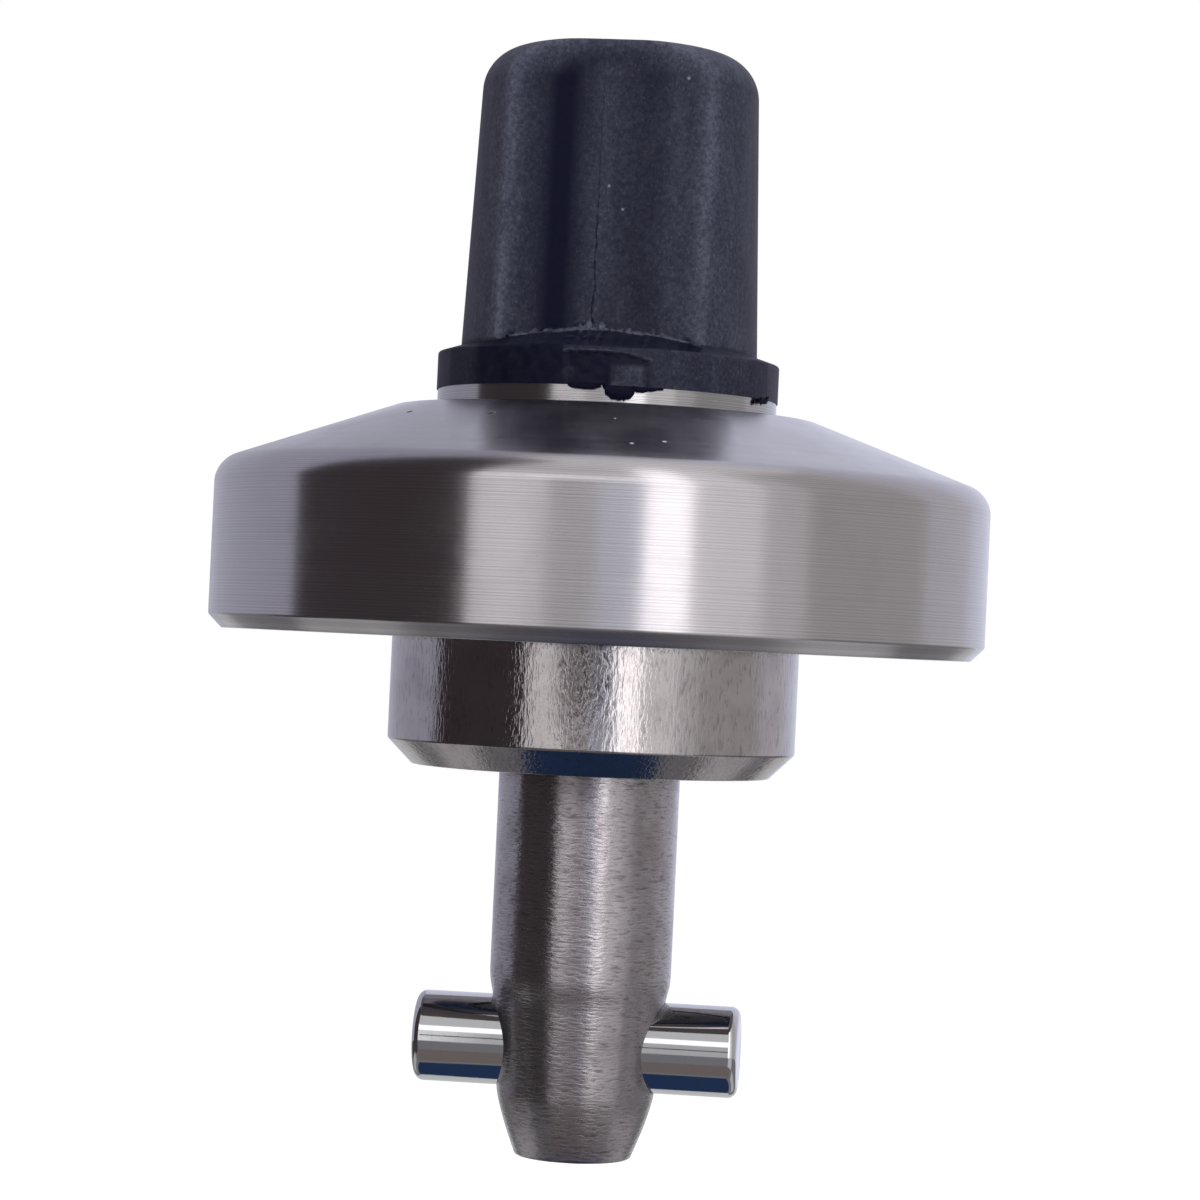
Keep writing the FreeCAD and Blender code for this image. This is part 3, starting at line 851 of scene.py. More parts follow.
@dataclass
class Grip:
    """Rubber grip: a drafted round body with two finger flats, thumb grooves and a flange.

    Heights in it are rises above the steel ring. The front faces -Y, and x runs across it.
    """

    height: float = 30.45
    stem_radius: float = 6.5
    stem_top: float = 45.9
    flange_radius: float = 15.1
    flange_edge: float = 3.25
    flange_fillet: float = 0.25
    flange_angle: float = math.radians(18.0)
    foot_radius: float = 13.1
    draft: float = math.tan(math.radians(2.17))
    top_fillet: float = 3.6
    flat_distance: float = 9.85
    lean: float = math.tan(math.radians(2.9))
    flat_sine: float = 0.3
    groove_half_width: float = 6.2
    groove_depth: float = 0.6
    groove_end: float = 26.25
    crest_foot: float = 0.10
    crest_top: float = 0.36
    seam_x: float = -0.65
    seam_height: float = 0.035
    seam_half_width: float = 0.16
    scar_x: float = -0.85
    scar_rise: float = 6.4
    scar_reach: float = 1.5
    scar_half_width: float = 0.7
    scar_height: float = 0.14
    gate_x: float = -0.8
    gate_radius: float = 0.95
    gate_rise: float = 0.55
    lip_height: float = 0.4
    lip_reach: float = 0.42
    lip_half_width: float = 8.0
    lip_tear: float = 0.55
    torn_from: float = -2.3
    torn_to: float = 5.1
    torn_height: float = 2.92
    torn_fall: float = 0.6
    torn_depth: float = 0.28
    wall_rings: int = 26
    edge_rings: int = 5
    cone_rings: int = 12
    foot_rings: int = 14
    foot_share: float = 0.05
    body_rings: int = 84
    fillet_rings: int = 22
    top_rings: int = 10
    gate_rings: int = 16
    gate_share: float = 0.76
    steps: int = 384
    finish: MouldedRubber = field(default_factory=lambda: MouldedRubber(
        "moulded_rubber",
        specks=(
            Spot(6.7, -8.55, 49.1, 0.2),
            Spot(0.2, -8.35, 39.6, 0.16),
            Spot(1.5, -8.5, 37.6, 0.16),
        ),
    ))

    def cone_rise(self, radius: float) -> float:
        """Return the rise of the flange's cone at a radius."""
        return self.flange_edge + (self.flange_radius - radius) * math.tan(self.flange_angle)

    def round_radius(self, rise: float) -> float:
        """Return the radius of the round body at a rise."""
        return self.foot_radius - (rise - self.cone_rise(self.foot_radius)) * self.draft

    def flat_plane(self, x: float, rise: float, front: bool) -> float:
        """Return the distance of a finger flat's surface from the axis plane.

        Args:
            x: Place across the flat.
            rise: Height above the ring.
            front: True on the side of the photo, where the seam and its scar are.

        Returns:
            The distance in millimetres.
        """
        beyond = max(0.0, rise - self.groove_end)
        reach = math.hypot(x, beyond) / self.groove_half_width
        hollow = self.groove_depth * (0.5 + 0.5 * math.cos(math.pi * min(reach, 1.0)))
        surface = self.flat_distance - rise * self.lean - hollow
        if front:
            surface += self.seam_ridge(x, rise) + self.torn_lip(x, rise)
        return surface

    def torn_lip(self, x: float, rise: float) -> float:
        """Return how far the ragged lip at the front flat's foot stands proud of it."""
        foot = self.cone_rise(math.hypot(x, self.flat_distance))
        ragged = grain(x * 1.7, 5.0, 0.0) + 0.5 * grain(x * 5.3, 9.0, 0.0)
        torn = clamp(2.2 - 1.4 * abs(x - self.scar_x))
        height = self.lip_height * (1.0 + 0.7 * ragged) + self.lip_tear * torn * (0.7 + ragged)
        above = (rise - foot) / max(height, 0.1)
        if not 0.0 <= above < 1.0 or abs(x) > self.lip_half_width:
            return 0.0
        reach = self.lip_reach * (1.0 + 0.6 * ragged) * (1.0 - 0.6 * torn * abs(ragged))
        return reach * math.sqrt(1.0 - above * above)

    def seam_ridge(self, x: float, rise: float) -> float:
        """Return how far the mould seam and its scar stand proud of the front flat."""
        gap = abs(x - self.seam_x - 0.12 * grain(0.0, rise * 0.35, 3.0))
        strength = self.seam_height + 0.03 * grain(rise * 0.8, 0.0, 7.0)
        along = clamp(1.0 - abs(rise - self.scar_rise) / self.scar_reach)
        scar = self.scar_height * along * clamp(1.0 - gap / self.scar_half_width)
        return strength * max(0.0, 1.0 - gap / self.seam_half_width) + scar

    def surface_radius(self, angle: float, rise: float, outer: float) -> float:
        """Return the radius of the grip's side, flats included.

        Args:
            angle: Direction about the axis.
            rise: Height above the ring.
            outer: Radius of the round form at this height.

        Returns:
            The radius in millimetres.
        """
        sine = abs(math.sin(angle))
        if sine < self.flat_sine:
            return outer
        x = outer * math.cos(angle)
        for _ in range(3):
            distance = self.flat_plane(x, rise, math.sin(angle) < 0) / sine
            x = min(distance, outer) * math.cos(angle)
        soft = self.crest_foot + (self.crest_top - self.crest_foot) * clamp(rise / self.height)
        overlap = max(soft - abs(outer - distance), 0.0) / soft
        return min(outer, distance) - overlap * overlap * soft / 4

    def profile(self) -> list[tuple[str, float]]:
        """Return the named rings of the outer skin, from the flange's foot to the top's centre."""
        runs = (
            ("wall", self.wall_rings, 0.0, 1.0),
            ("edge", self.edge_rings, 0.0, 1.0),
            ("cone", self.cone_rings, 0.0, 1.0),
            ("side", self.foot_rings, 0.0, self.foot_share),
            ("side", self.body_rings, self.foot_share, 1.0),
            ("fillet", self.fillet_rings, 0.0, 1.0),
            ("top", self.top_rings, 0.0, self.gate_share),
            ("top", self.gate_rings, self.gate_share, 1.0),
        )
        rings = [("wall", 0.0)]
        for kind, count, low, high in runs:
            rings += [(kind, low + (high - low) * (step + 1) / count) for step in range(count)]
        return rings

    def ring_point(self, kind: str, share: float, angle: float) -> tuple[float, float]:
        """Return the radius and the rise of one ring in one direction.

        Args:
            kind: Part of the skin that the ring is on.
            share: How far along that part it is.
            angle: Direction about the axis.

        Returns:
            The radius and the rise in millimetres.
        """
        edge_turn = math.pi / 2 - self.flange_angle
        wall_top = self.flange_edge - self.flange_fillet * math.tan(edge_turn / 2)
        if kind == "wall":
            rise = share * wall_top
            radius = self.flange_radius
            if math.sin(angle) < 0:
                radius -= self.torn_depth * self.torn_recess(radius * math.cos(angle), rise)
            return radius, rise
        if kind == "edge":
            turn = share * edge_turn
            radius = self.flange_radius - self.flange_fillet * (1.0 - math.cos(turn))
            return radius, wall_top + self.flange_fillet * math.sin(turn)
        shoulder = self.height - self.top_fillet
        if kind in ("cone", "side"):
            foot_radius, foot_rise = self.foot(angle)
            if kind == "side":
                rise = foot_rise + (shoulder - foot_rise) * share
                return self.surface_radius(angle, rise, self.round_radius(rise)), rise
            radius, rise = self.ring_point("edge", 1.0, angle)
            return radius + (foot_radius - radius) * share, rise + (foot_rise - rise) * share
        centre = self.round_radius(self.height) - self.top_fillet
        if kind == "fillet":
            turn = share * math.pi / 2
            rise = shoulder + self.top_fillet * math.sin(turn)
            lean = (self.height - rise) * self.draft * (1.0 - share)
            outer = centre + self.top_fillet * math.cos(turn) + lean
            return self.surface_radius(angle, rise, outer), rise
        radius = self.surface_radius(angle, self.height, centre) * (1.0 - share)
        stub = self.gate_stub(radius * math.cos(angle), radius * math.sin(angle))
        return radius, self.height + stub

    def torn_line(self, x: float) -> float:
        """Return the rise of the torn edge across the front of the flange."""
        fall = clamp((x - 1.4) / 3.6)
        return self.torn_height - self.torn_fall * fall * fall + 0.08 * grain(x * 2.1, 6.0, 0.0)

    def torn_recess(self, x: float, rise: float) -> float:
        """Return how deep the flange's front is torn away below the torn edge, from 0 to 1."""
        ragged = 0.8 * grain(x * 1.5, rise * 1.5, 2.0)
        across = clamp(min(x - self.torn_from, self.torn_to - x) / 0.35 + ragged)
        below = clamp((self.torn_line(x) - rise) / 0.14)
        left = clamp((2.0 - x) / 0.6)
        shallow = min(1.0, max(0.15, (rise - 1.5) / 0.8))
        foot = min(1.0, rise / 0.25)
        return across * below * foot * max(left, shallow) * (1.0 + 0.4 * ragged)

    def gate_stub(self, x: float, y: float) -> float:
        """Return the height of the rough stub where the mould's gate was cut, on the top."""
        inside = max(0.0, 1.0 - math.hypot(x - self.gate_x, y) / self.gate_radius)
        rough = 0.75 + 0.5 * grain(x * 2.0, y * 2.0, 4.0)
        return self.gate_rise * min(1.0, inside * 4.0) * rough

    def foot(self, angle: float) -> tuple[float, float]:
        """Return where the side meets the flange's cone."""
        radius = self.foot_radius
        rise = self.flange_edge
        for _ in range(8):
            rise = self.cone_rise(radius)
            radius = self.surface_radius(angle, rise, self.round_radius(rise))
        return radius, rise

    def build(self, effects: Effects) -> None:
        """Build and dress the grip and its moulding marks."""
        bm = bmesh.new()
        layer = bm.verts.layers.int.new("ring")
        dust_and_painted_light = bm.verts.layers.float.new("dust_and_painted_light")
        gloss = bm.verts.layers.float.new("gloss")
        rings = self.profile()
        stem = self.stem_radius
        line = [(0.0, self.stem_top), (stem, self.stem_top), (stem, RING_TOP)]
        start = len(line)
        for kind, share in rings:
            radius, rise = self.ring_point(kind, share, 0.0)
            line.append((radius, RING_TOP + rise))
        points = [bm.verts.new((radius, 0.0, height)) for radius, height in line]
        for first, second in zip(points, points[1:]):
            bm.edges.new((first, second))
        for index, point in enumerate(points):
            point[layer] = index
        spin(bm, bm.verts[:] + bm.edges[:], self.steps)
        skin = Skin(self)
        for vert in bm.verts:
            index = vert[layer]
            if index < start:
                continue
            kind, share = rings[index - start]
            angle = math.atan2(vert.co.y, vert.co.x)
            radius, rise = self.ring_point(kind, share, angle)
            outer = self.ring_point(kind, share, 0.0)[0]
            vert.co = (radius * math.cos(angle), radius * math.sin(angle), RING_TOP + rise)
            vert[gloss] = skin.gloss_at(angle, rise)
            # Dust and painted shade and light, stored in one attribute.
            vert[dust_and_painted_light] = skin.dust_and_light_on(kind, angle, radius, rise, outer)
        bmesh.ops.remove_doubles(bm, verts=bm.verts, dist=MERGE_GAP)
        piece = finish_mesh(bm, "moulded_grip", False)
        settle(piece, [self.finish.make(effects)], Body.SPINDLE)
        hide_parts("grip")


@dataclass
class Skin:
    """How pale and how smooth the grip's rubber is from place to place, from 0 to 1.

    Levels are shares of dust and of painted light: painted shade on the groove walls, in the
    notches at the torn lip's ends and on the flange's front, painted reflections in the torn patch,
    and painted highlights in streaks on the flats and along the torn edge. Widths and places are in
    millimetres.
    """

    grip: Grip
    plain: float = 0.23
    crest: float = 0.4
    crest_width: float = 0.8
    worn_width: float = 0.22
    worn_height: float = 10.0
    beside_flat: float = 0.16
    shoulder: float = 0.36
    shoulder_height: float = 3.4
    # Painted shade on the thumb groove's walls and its top end.
    wall_shade_reach: float = 4.0
    wall_shade_width: float = 1.7
    # Painted light: paler upright streaks on the finger flats, by place and width.
    painted_light_streaks: tuple[tuple[float, float], ...] = ((-0.4, 1.0), (5.9, 1.5))
    painted_light_streak: float = 0.1
    lip: float = 0.5
    scar: float = 1.3
    # Painted shadow in the notches at the torn lip's ends.
    notch_shadow: float = 0.9
    notch_shadow_width: float = 0.4
    front_half_width: float = 13.0
    cone_half_width: float = 9.0
    torn_above: float = 0.18
    # Painted highlight along the flange's torn edge.
    torn_edge_highlight: float = 0.45
    torn_edge_highlight_width: float = 0.1
    gloss_x: float = 1.4
    gloss_half_width: float = 3.7
    gloss_rise: float = 1.9

    def dust_and_light_on(self, kind: str, angle: float, radius: float, rise: float, outer: float) -> float:
        """Return how pale the skin is at one point of one ring.

        Args:
            kind: Part of the skin that the ring is on.
            angle: Direction about the axis.
            radius: Radius of the point.
            rise: Height above the ring.
            outer: Radius of the round form at this height.

        Returns:
            The share of dust and painted light.
        """
        x = radius * math.cos(angle)
        low = kind in ("wall", "edge", "cone")
        if low and math.sin(angle) < 0 and abs(x) < self.front_half_width:
            if kind == "cone" and abs(x) < self.cone_half_width:
                return self.cone_paleness(x, rise)
            return self.flange_dust_and_light(x, rise)
        return self.side_dust_and_light(angle, rise, outer)

    def side_dust_and_light(self, angle: float, rise: float, outer: float) -> float:
        """Return how pale the sides and the top are, paler on the crests and the shoulder."""
        grip = self.grip
        level = self.plain
        sine = abs(math.sin(angle))
        x = outer * math.cos(angle)
        if sine > grip.flat_sine and rise > grip.flange_edge + 0.9:
            distance = grip.flat_plane(x, rise, False) / sine
            x = min(distance, outer) * math.cos(angle)
            level += self.flat_dust_and_light(x, rise, distance - outer)
        elif sine <= grip.flat_sine:
            level += self.beside_flat
        level += self.shoulder * max(0.0, 1.0 + (rise - grip.height) / self.shoulder_height)
        if math.sin(angle) < 0:
            level += self.lip * min(1.0, 4.0 * grip.torn_lip(x, rise))
            scar = clamp(1.0 - abs(x - grip.scar_x) / 1.7) * clamp(1.0 - abs(rise - 5.5) / 0.9)
            level += self.scar * scar * grain(x * 3.1, rise * 4.3, 5.0)
            # Painted shadow: darker in the notches at the ends of the torn lip.
            level -= self.notch_shadow * self.notch_shadow_at(x, rise)
        return clamp(level)

    def flat_dust_and_light(self, x: float, rise: float, past_crest: float) -> float:
        """Return what a finger flat adds: pale crests, painted light streaks, and painted shade on
        its groove's walls and top end.

        Args:
            x: Place across the flat.
            rise: Height above the ring.
            past_crest: How far the flat's plane lies outside the round form.

        Returns:
            The share of dust and painted light to add, which may be below 0.
        """
        grip = self.grip
        level = self.crest * bell(past_crest, self.crest_width)
        level += self.beside_flat * clamp(past_crest)
        if x < 0:
            worn = max(0.0, 1.0 - (rise - grip.flange_edge) / self.worn_height)
            level += self.crest * worn * bell(past_crest, self.worn_width)
        # Painted shade: darker on the groove's walls, and most at its top end, which faces down.
        beyond = max(0.0, rise - grip.groove_end)
        reach = math.hypot(x, 1.35 * beyond)
        turn = min(1.0, math.atan2(beyond, x) / (math.pi / 2)) if reach > 0 else 0.0
        level -= (0.07 + 0.19 * turn) * bell(reach - self.wall_shade_reach, self.wall_shade_width)
        # Painted light: paler upright streaks down the flat, below the groove's end.
        below = max(0.0, 1.0 - beyond / 3.0)
        for middle, width in self.painted_light_streaks:
            level += self.painted_light_streak * below * bell(x - middle, width)
        return level

    def notch_shadow_at(self, x: float, rise: float) -> float:
        """Return the strength of the painted shadows in the notches at the ends of the torn lip."""
        side = -7.7 if x < 0 else 7.8
        foot = self.grip.cone_rise(math.hypot(x, self.grip.flat_distance))
        return bell(math.hypot(x - side, rise - foot - 0.15), self.notch_shadow_width)

    def flange_dust_and_light(self, x: float, rise: float) -> float:
        """Return how pale the flange's front is, from left to right: painted shadow under the lip,
        then the torn patch with painted reflections and a painted highlight on its torn edge, then
        dust.
        """
        grip = self.grip
        rough = grain(x * 1.4, rise * 1.1, 12.0)
        # Painted shadow: the flange's front is dark under the lip, and dusty from x 4.7 on.
        level = 0.03 + 0.22 * clamp((x - 4.7) / 0.7) + 0.1 * clamp(-x - 9.9)
        if not grip.torn_from < x < grip.torn_to:
            return max(0.0, level + 0.04 * rough)
        line = grip.torn_line(x)
        if rise > line:
            level = self.torn_above
        else:
            # Painted reflections: paler patches on the glossy torn patch, right and left.
            right = ease(x - 1.5, 0.5) * ease(4.9 - x, 0.7) * ease(2.0 - rise, 0.5)
            left = ease(-1.1 - x, 0.4) * ease(rise - 0.3, 0.4) * ease(1.7 - rise, 0.4)
            level += right * (0.17 + 0.04 * (x - 1.6) + 0.08 * rough) + left * (0.08 + 0.08 * rough)
        # Painted highlight: a pale line along the torn edge.
        return max(0.0, level + self.torn_edge_highlight * bell(rise - line, self.torn_edge_highlight_width))

    def cone_paleness(self, x: float, rise: float) -> float:
        """Return how pale the front of the flange's cone is, below the torn lip."""
        # Darker than the plain skin below the torn lip, with pale blotches near the scar.
        level = 0.1 + 0.09 * grain(x * 2.4, 3.0, 1.0) - 0.1 * clamp(abs(x) - 7.0)
        if abs(x + 0.9) < 1.6 and rise > self.grip.flange_edge + 0.7:
            level += 0.5 * grain(x * 3.0, rise * 4.0, 5.0)
        return max(0.0, level)

    def gloss_at(self, angle: float, rise: float) -> float:
        """Return how smooth the skin is: 1 in the torn patch at the front of the flange."""
        if math.sin(angle) > 0 or rise > self.grip.flange_edge + self.gloss_rise:
            return 0.0
        x = self.grip.flange_radius * math.cos(angle)
        half_width = self.gloss_half_width + 1.2 * grain(x * 0.6, rise * 0.9, 2.0)
        return clamp(4.0 * (1.0 - abs(x - self.gloss_x) / half_width))


@dataclass(frozen=True)
class Crumb:
    """Ragged bit of rubber that hangs under the flange, from one place across to another."""

    start: float
    end: float
    depth: float
    fade: float = 0.0

    def x_at(self, share: float) -> float:
        """Return the place at a share of the width."""
        return self.start + (self.end - self.start) * share

    def depth_at(self, share: float) -> float:
        """Return the depth at a share of the width."""
        x = self.x_at(share)
        ragged = grain(x * 1.9, 1.0, 0.0) + 0.6 * grain(x * 6.1, 4.0, 0.0)
        rounded = max(0.0, math.sin(math.pi * share)) ** 0.3
        return 0.03 + self.depth * rounded * (1.0 - self.fade * share) * (1.0 + 0.22 * ragged)


@dataclass
class TornEdge:
    """Torn rubber under the front of the flange."""

    radius: float = 15.06
    wall: float = 0.2
    overlap: float = 0.02
    bulge: float = 0.14
    column: float = 0.08
    rows: int = 6
    keep: float = 0.08
    finish: MouldedRubber = field(default_factory=lambda: MouldedRubber("torn_rubber"))
    crumbs: tuple[Crumb, ...] = (
        Crumb(-1.8, 1.0, 0.38),
        Crumb(1.3, 3.95, 1.22),
        Crumb(3.6, 6.2, 0.62, 0.7),
        Crumb(13.9, 14.4, 0.4),
    )

    def build(self, effects: Effects) -> None:
        """Hang every crumb and join them in one piece."""
        bm = bmesh.new()
        for crumb in self.crumbs:
            columns = max(6, round((crumb.end - crumb.start) / self.column))
            grid = bmesh.ops.create_grid(bm, x_segments=columns, y_segments=self.rows, size=0.5)
            for vert in grid["verts"]:
                share = vert.co.x + 0.5
                drop = 0.5 - vert.co.y
                x = crumb.x_at(share)
                bulge = self.bulge * math.sin(math.pi * drop) * min(1.0, crumb.depth)
                bulge += 0.05 * grain(x * 3.0, drop * 3.0, 8.0)
                radius = self.radius + self.wall + bulge
                angle = -math.acos(x / radius)
                height = RING_TOP + self.overlap - drop * crumb.depth_at(share)
                vert.co = (radius * math.cos(angle), radius * math.sin(angle), height)
            own = set(grid["verts"])
            faces = [face for face in bm.faces if face.verts[0] in own]
            bmesh.ops.recalc_face_normals(bm, faces=faces)
            bmesh.ops.solidify(bm, geom=faces, thickness=self.wall)
        piece = finish_mesh(bm, "torn_rubber_edge", False)
        settle(piece, [self.finish.make(effects)], Body.SPINDLE)
        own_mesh(piece)


@dataclass
class Mechanism:
    """Inner pieces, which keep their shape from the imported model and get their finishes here."""

    travel: float = 1.5
    wire: PlainMetal = PlainMetal("spring_wire_steel", colour=(0.32, 0.31, 0.3), rough=0.34)
    nodes_by_finish: dict[Finish, tuple[str, ...]] = field(default_factory=lambda: {
        PlainMetal("hardened_washer_steel", colour=(0.36, 0.35, 0.34)): (
            "lower_spring_seat", "upper_spring_seat", "circlip", "circlip_washer",
        ),
        PlainMetal("sintered_bronze", colour=(0.56, 0.36, 0.17), rough=0.36): (
            "guide_bush", "thrust_washer",
        ),
        PlainMetal("ground_dowel_steel", colour=(0.58, 0.58, 0.58), rough=0.16): (
            "stop_pin", "core_lock_pin",
        ),
        SealRubber("seal_ring_rubber"): ("plunger_oring", "shaft_oring"),
        TurnedSteel(
            "core_ring_steel", dark=(0.27, 0.26, 0.262), smooth=0.18, rough=0.26, pitch=0.12,
            depth=0.0012,
        ): ("knob_core",),
    })

    def dress(self, effects: Effects) -> None:
        """Give each inner node its finish."""
        self.wind_spring(effects)
        for finish, names in self.nodes_by_finish.items():
            material = finish.make(effects)
            for name in names:
                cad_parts[name].material_slots[0].material = material
                log.info("%s: %s", name, finish.name)

    def wind_spring(self, effects: Effects) -> None:
        """Stand a copy of the spring on its lower seat."""
        piece = bpy.data.objects.new("wound_spring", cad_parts["spring"].data.copy())
        bpy.context.scene.collection.objects.link(piece)
        piece.data.materials.clear()
        settle(piece, [self.wire.make(effects)], Body.HOUSING)
        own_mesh(piece)
        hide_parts("spring")


@dataclass(frozen=True)
class Card:
    """Upright curved card round the object, seen only by reflections in metal and rubber.

    Directions are in degrees from the camera's, to the right, and heights in degrees above level.
    """

    name: str
    start: float
    end: float
    low: float
    high: float
    glow: float
    tint: Colour = WHITE
    distance: float = 0.55


@dataclass(frozen=True)
class Mat:
    """Part of a round table top under the object, seen only by reflections.

    Directions are in degrees from the camera's, to the right, and distances in metres.
    """

    name: str
    start: float
    end: float
    near: float
    far: float
    glow: float
    tint: Colour = WHITE
    rise: float = 0.003


@dataclass
class Studio:
    """Floor, lamps, reflected surroundings, world and camera."""

    axis_distance: float = 318.6
    azimuth: float = 6.0
    eye_height: float = 0.4
    aim_height: float = 3.96
    aim_side: float = 0.2
    roll: float = 2.65
    lens: float = 108.0
    sensor: float = 36.0
    clip_start: float = 0.01
    lamp_aim: tuple[float, float, float] = (0.0, 0.0, 0.005)
    floor_height: float = -120.0
    floor_half: float = 30.0
    floor_colour: Colour = (0.82, 0.82, 0.82)
    floor_glow: float = 0.6
    floor_glow_mirrored: float = 0.1
    world_strength: float = 0.5
    cards: tuple[Card, ...] = (
        Card("sky_wall_behind", 135, 188, -40, 75, 0.85, (0.94, 0.97, 1.14), distance=0.62),
        Card("pale_wall_back_left", -172, -96, -40, 75, 0.56, (0.95, 0.96, 1.14), distance=0.62),
        Card("dark_screen_left", -96, -37, -40, 78, 0.06, (1.12, 0.94, 1.0)),
        Card("window_left", -37, -15, -40, 14, 1.17),
        Card("dim_room_front", -15, -1, -40, 14, 0.66, (1.0, 0.99, 1.0)),
        Card("pale_room_front", -1, 12, -40, 14, 0.97, (0.92, 0.98, 1.12)),
        Card("camera_body", -20, 9, -1.9, 0.18, 0.03, (1.3, 0.92, 0.92), distance=0.32),
        Card("strip_lamp_front", -37, 12, 14, 27, 2.0, distance=0.54),
        Card("pale_wall_above", -37, 12, 27, 60, 0.8),
        Card("soft_box_right", 12, 25, -40, 60, 2.7, distance=0.54),
        Card("bright_wall_right", 25, 46, -40, 60, 1.2),
        Card("pale_wall_right", 46, 60, -40, 60, 0.8),
        Card("grey_wall_right", 60, 106, -40, 60, 0.58, (1.0, 0.99, 0.97)),
        Card("pale_wall_back_right", 106, 135, -40, 60, 0.75, (0.98, 0.98, 1.06)),
    )
    card_step: float = 4.0
    mats: tuple[Mat, ...] = (
        Mat("dim_table", -150, 150, 0.02, 0.56, 0.26, (1.0, 1.0, 1.05)),
        Mat("dark_table_left", -112, -38, 0.12, 0.56, 0.07, (1.0, 0.98, 0.95), 0.004),
        Mat("lit_table_right", 15, 62, 0.14, 0.56, 0.75, rise=0.004),
        Mat("pale_table_left", -135, -75, 0.075, 0.15, 0.6, rise=0.005),
        Mat("pale_table_right", 70, 135, 0.075, 0.15, 0.65, rise=0.005),
        Mat("brown_mat", -45, 45, 0.05, 0.14, 0.2, (1.15, 0.98, 0.9), 0.005),
        Mat("blue_mat", -180, 180, 0.0, 0.042, 0.05, (0.5, 1.0, 2.4), 0.006),
    )
    mat_step: float = 6.0

    def place_camera(self) -> None:
        """Stand the camera where the photo was taken from."""
        turn = math.radians(self.azimuth)
        right = Vector((math.cos(turn), math.sin(turn), 0.0))
        back = Vector((math.sin(turn), -math.cos(turn), 0.0))
        eye = (back * self.axis_distance + Vector((0, 0, self.eye_height))) * MM
        aim = (right * self.aim_side + Vector((0, 0, self.aim_height))) * MM
        data = bpy.data.cameras.new("photo_camera")
        data.lens = self.lens
        data.sensor_width = self.sensor
        data.clip_start = self.clip_start
        camera = bpy.data.objects.new("photo_camera", data)
        bpy.context.scene.collection.objects.link(camera)
        look = (aim - eye).to_track_quat("-Z", "Y").to_matrix().to_4x4()
        roll = Matrix.Rotation(math.radians(self.roll), 4, "Z")
        camera.matrix_world = Matrix.Translation(eye) @ look @ roll
        bpy.context.scene.camera = camera

    def lamp(self, name: str, place: tuple, size: tuple, power: float) -> None:
        """Add a soft box that faces the object and shows only in matte surfaces.

        Args:
            name: Name of the lamp.
            place: Its middle in metres.
            size: Its width and height in metres.
            power: Its power in watts.
        """
        data = bpy.data.lights.new(name, "AREA")
        data.shape = "RECTANGLE"
        data.size, data.size_y = size
        data.energy = power
        lamp = bpy.data.objects.new(name, data)
        lamp.location = place
        aim = Vector(self.lamp_aim) - Vector(place)
        lamp.rotation_euler = aim.to_track_quat("-Z", "Y").to_euler()
        lamp.visible_glossy = False
        bpy.context.scene.collection.objects.link(lamp)

    def hang(self, shape: Card | Mat, ends: list[tuple], step: float) -> None:
        """Sweep a line round the object into a glowing surface that only reflections see.

        Args:
            shape: Card or mat that the surface is.
            ends: Ends of the line in metres.
            step: Largest turn of one face in degrees.
        """
        bm = bmesh.new()
        points = [bm.verts.new(end) for end in ends]
        edge = bm.edges.new(points)
        turn = shape.end - shape.start
        spin(bm, points + [edge], round(turn / step), math.radians(turn))
        bmesh.ops.remove_doubles(bm, verts=bm.verts, dist=1e-6)
        surface = link_mesh(bm, shape.name)
        material, graph, shader = new_material(shape.name)
        graph.fill(shader, {
            "Base Color": BLACK,
            "Specular IOR Level": 0.0,
            "Emission Color": shape.tint,
            "Emission Strength": shape.glow,
        })
        surface.data.materials.append(material)
        for ray in ("camera", "diffuse", "transmission", "shadow"):
            setattr(surface, "visible_" + ray, False)

    def direction(self, degrees: float) -> tuple[float, float]:
        """Return the x and y of a direction given in degrees to the right of the camera's."""
        turn = math.radians(self.azimuth + degrees)
        return math.sin(turn), -math.cos(turn)

    def stand_card(self, card: Card) -> None:
        """Bend an upright card round the object."""
        x, y = (card.distance * part for part in self.direction(card.start))
        low, high = (card.distance * math.tan(math.radians(end)) for end in (card.low, card.high))
        foot = max(low, self.floor_height * MM + 0.002)
        self.hang(card, [(x, y, foot), (x, y, high)], self.card_step)

    def lay_mat(self, mat: Mat) -> None:
        """Lay part of the round table top just over the floor."""
        x, y = self.direction(mat.start)
        height = self.floor_height * MM + mat.rise
        ends = [(reach * x, reach * y, height) for reach in (mat.near, mat.far)]
        self.hang(mat, ends, self.mat_step)

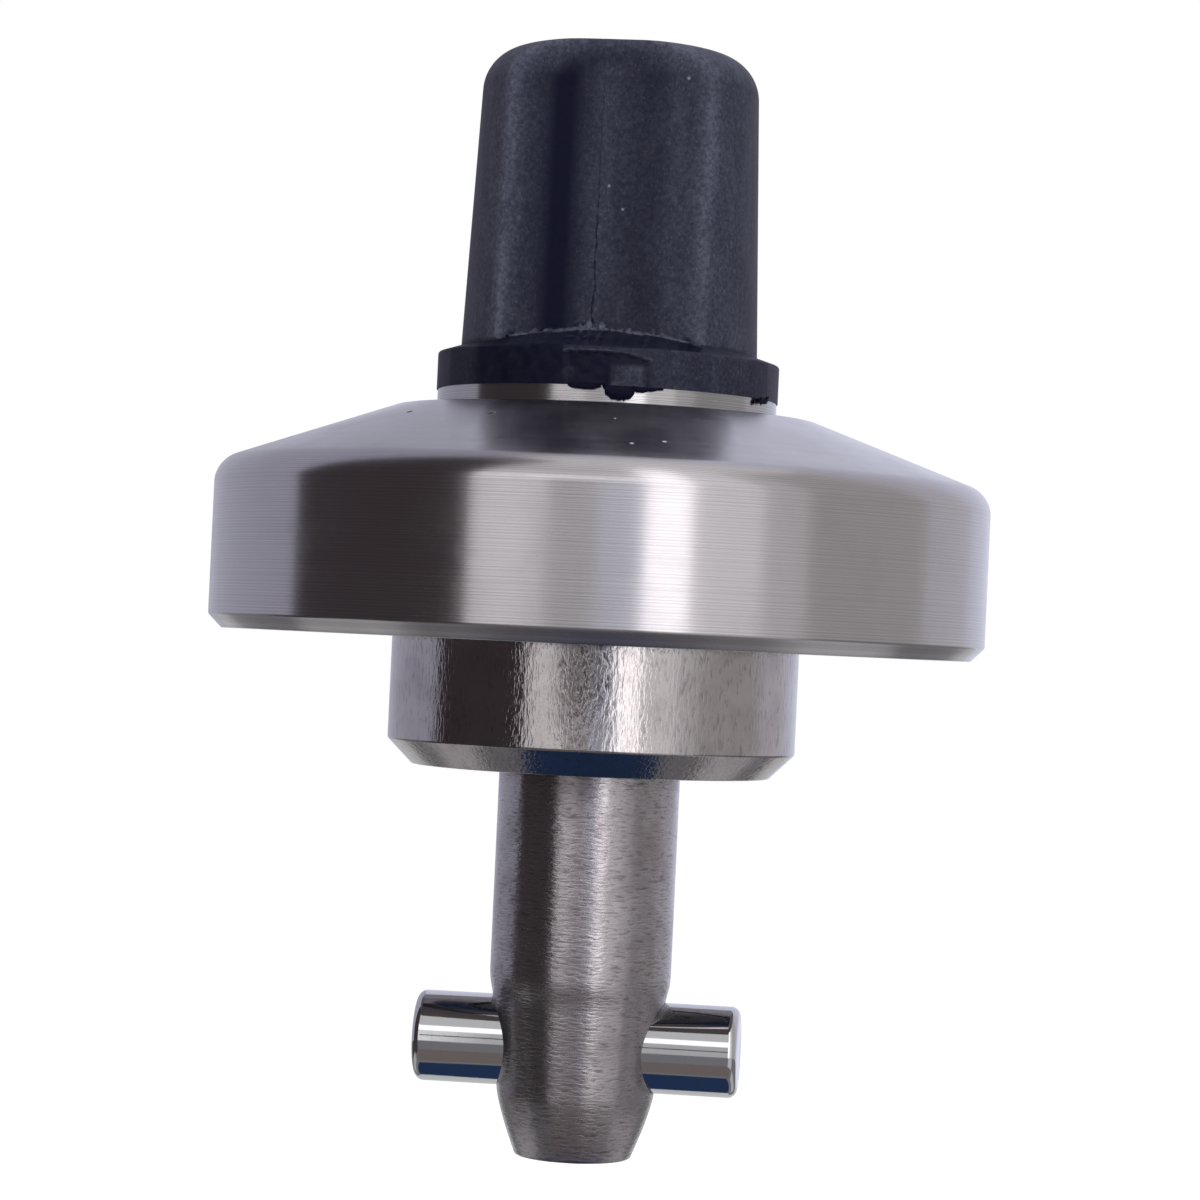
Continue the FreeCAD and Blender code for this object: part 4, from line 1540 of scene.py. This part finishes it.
    def lay_floor(self) -> None:
        """Lay a wide pale floor that looks white and keeps shadows."""
        bm = bmesh.new()
        bmesh.ops.create_grid(bm, x_segments=1, y_segments=1, size=self.floor_half)
        bmesh.ops.translate(bm, verts=bm.verts, vec=(0, 0, self.floor_height * MM))
        floor = link_mesh(bm, "pale_floor")
        material, graph, shader = new_material("pale_floor")
        path = graph.add("LightPath").outputs
        mirrored = graph.math("MAXIMUM", path["Is Glossy Ray"], path["Is Transmission Ray"])
        glow = graph.product(mirrored, self.floor_glow_mirrored)
        glow = graph.math("MULTIPLY_ADD", path["Is Camera Ray"], self.floor_glow, glow)
        graph.fill(shader, {
            "Base Color": self.floor_colour,
            "Roughness": 0.9,
            "Specular IOR Level": 0.0,
            "Emission Color": WHITE,
            "Emission Strength": glow,
        })
        floor.data.materials.append(material)

    def light_world(self) -> None:
        """Light the world softly, and show it white to the camera, metal and glass."""
        world = bpy.data.worlds.new("soft_studio")
        bpy.context.scene.world = world
        world.use_nodes = True
        graph = Graph(world.node_tree)
        path = graph.add("LightPath").outputs
        seen = graph.math("MAXIMUM", path["Is Camera Ray"], path["Is Glossy Ray"])
        seen = graph.math("MAXIMUM", seen, path["Is Transmission Ray"])
        strength = graph.span(seen, 0.0, 1.0, self.world_strength, 1.0)
        background = world.node_tree.nodes["Background"]
        graph.fill(background, {"Color": WHITE, "Strength": strength})

    def build(self) -> None:
        """Set the whole studio."""
        self.place_camera()
        self.lay_floor()
        self.light_world()
        self.lamp("soft_box_front_right", (0.45, -0.6, 0.45), (0.5, 0.5), 4.5)
        self.lamp("soft_box_left", (-0.7, -0.25, 0.25), (0.4, 0.8), 1.6)
        for card in self.cards:
            self.stand_card(card)
        for mat in self.mats:
            self.lay_mat(mat)
        bpy.context.scene.view_settings.view_transform = "Standard"


def main() -> None:
    """Build the looks."""
    logging.basicConfig(level=logging.INFO, format="%(name)s: %(message)s")
    effects = Effects()
    Studio().build()
    for part in (Housing(), Shaft(), Grip(), TornEdge()):
        part.build(effects)
    Mechanism().dress(effects)


if __name__ == "__main__":
    main()
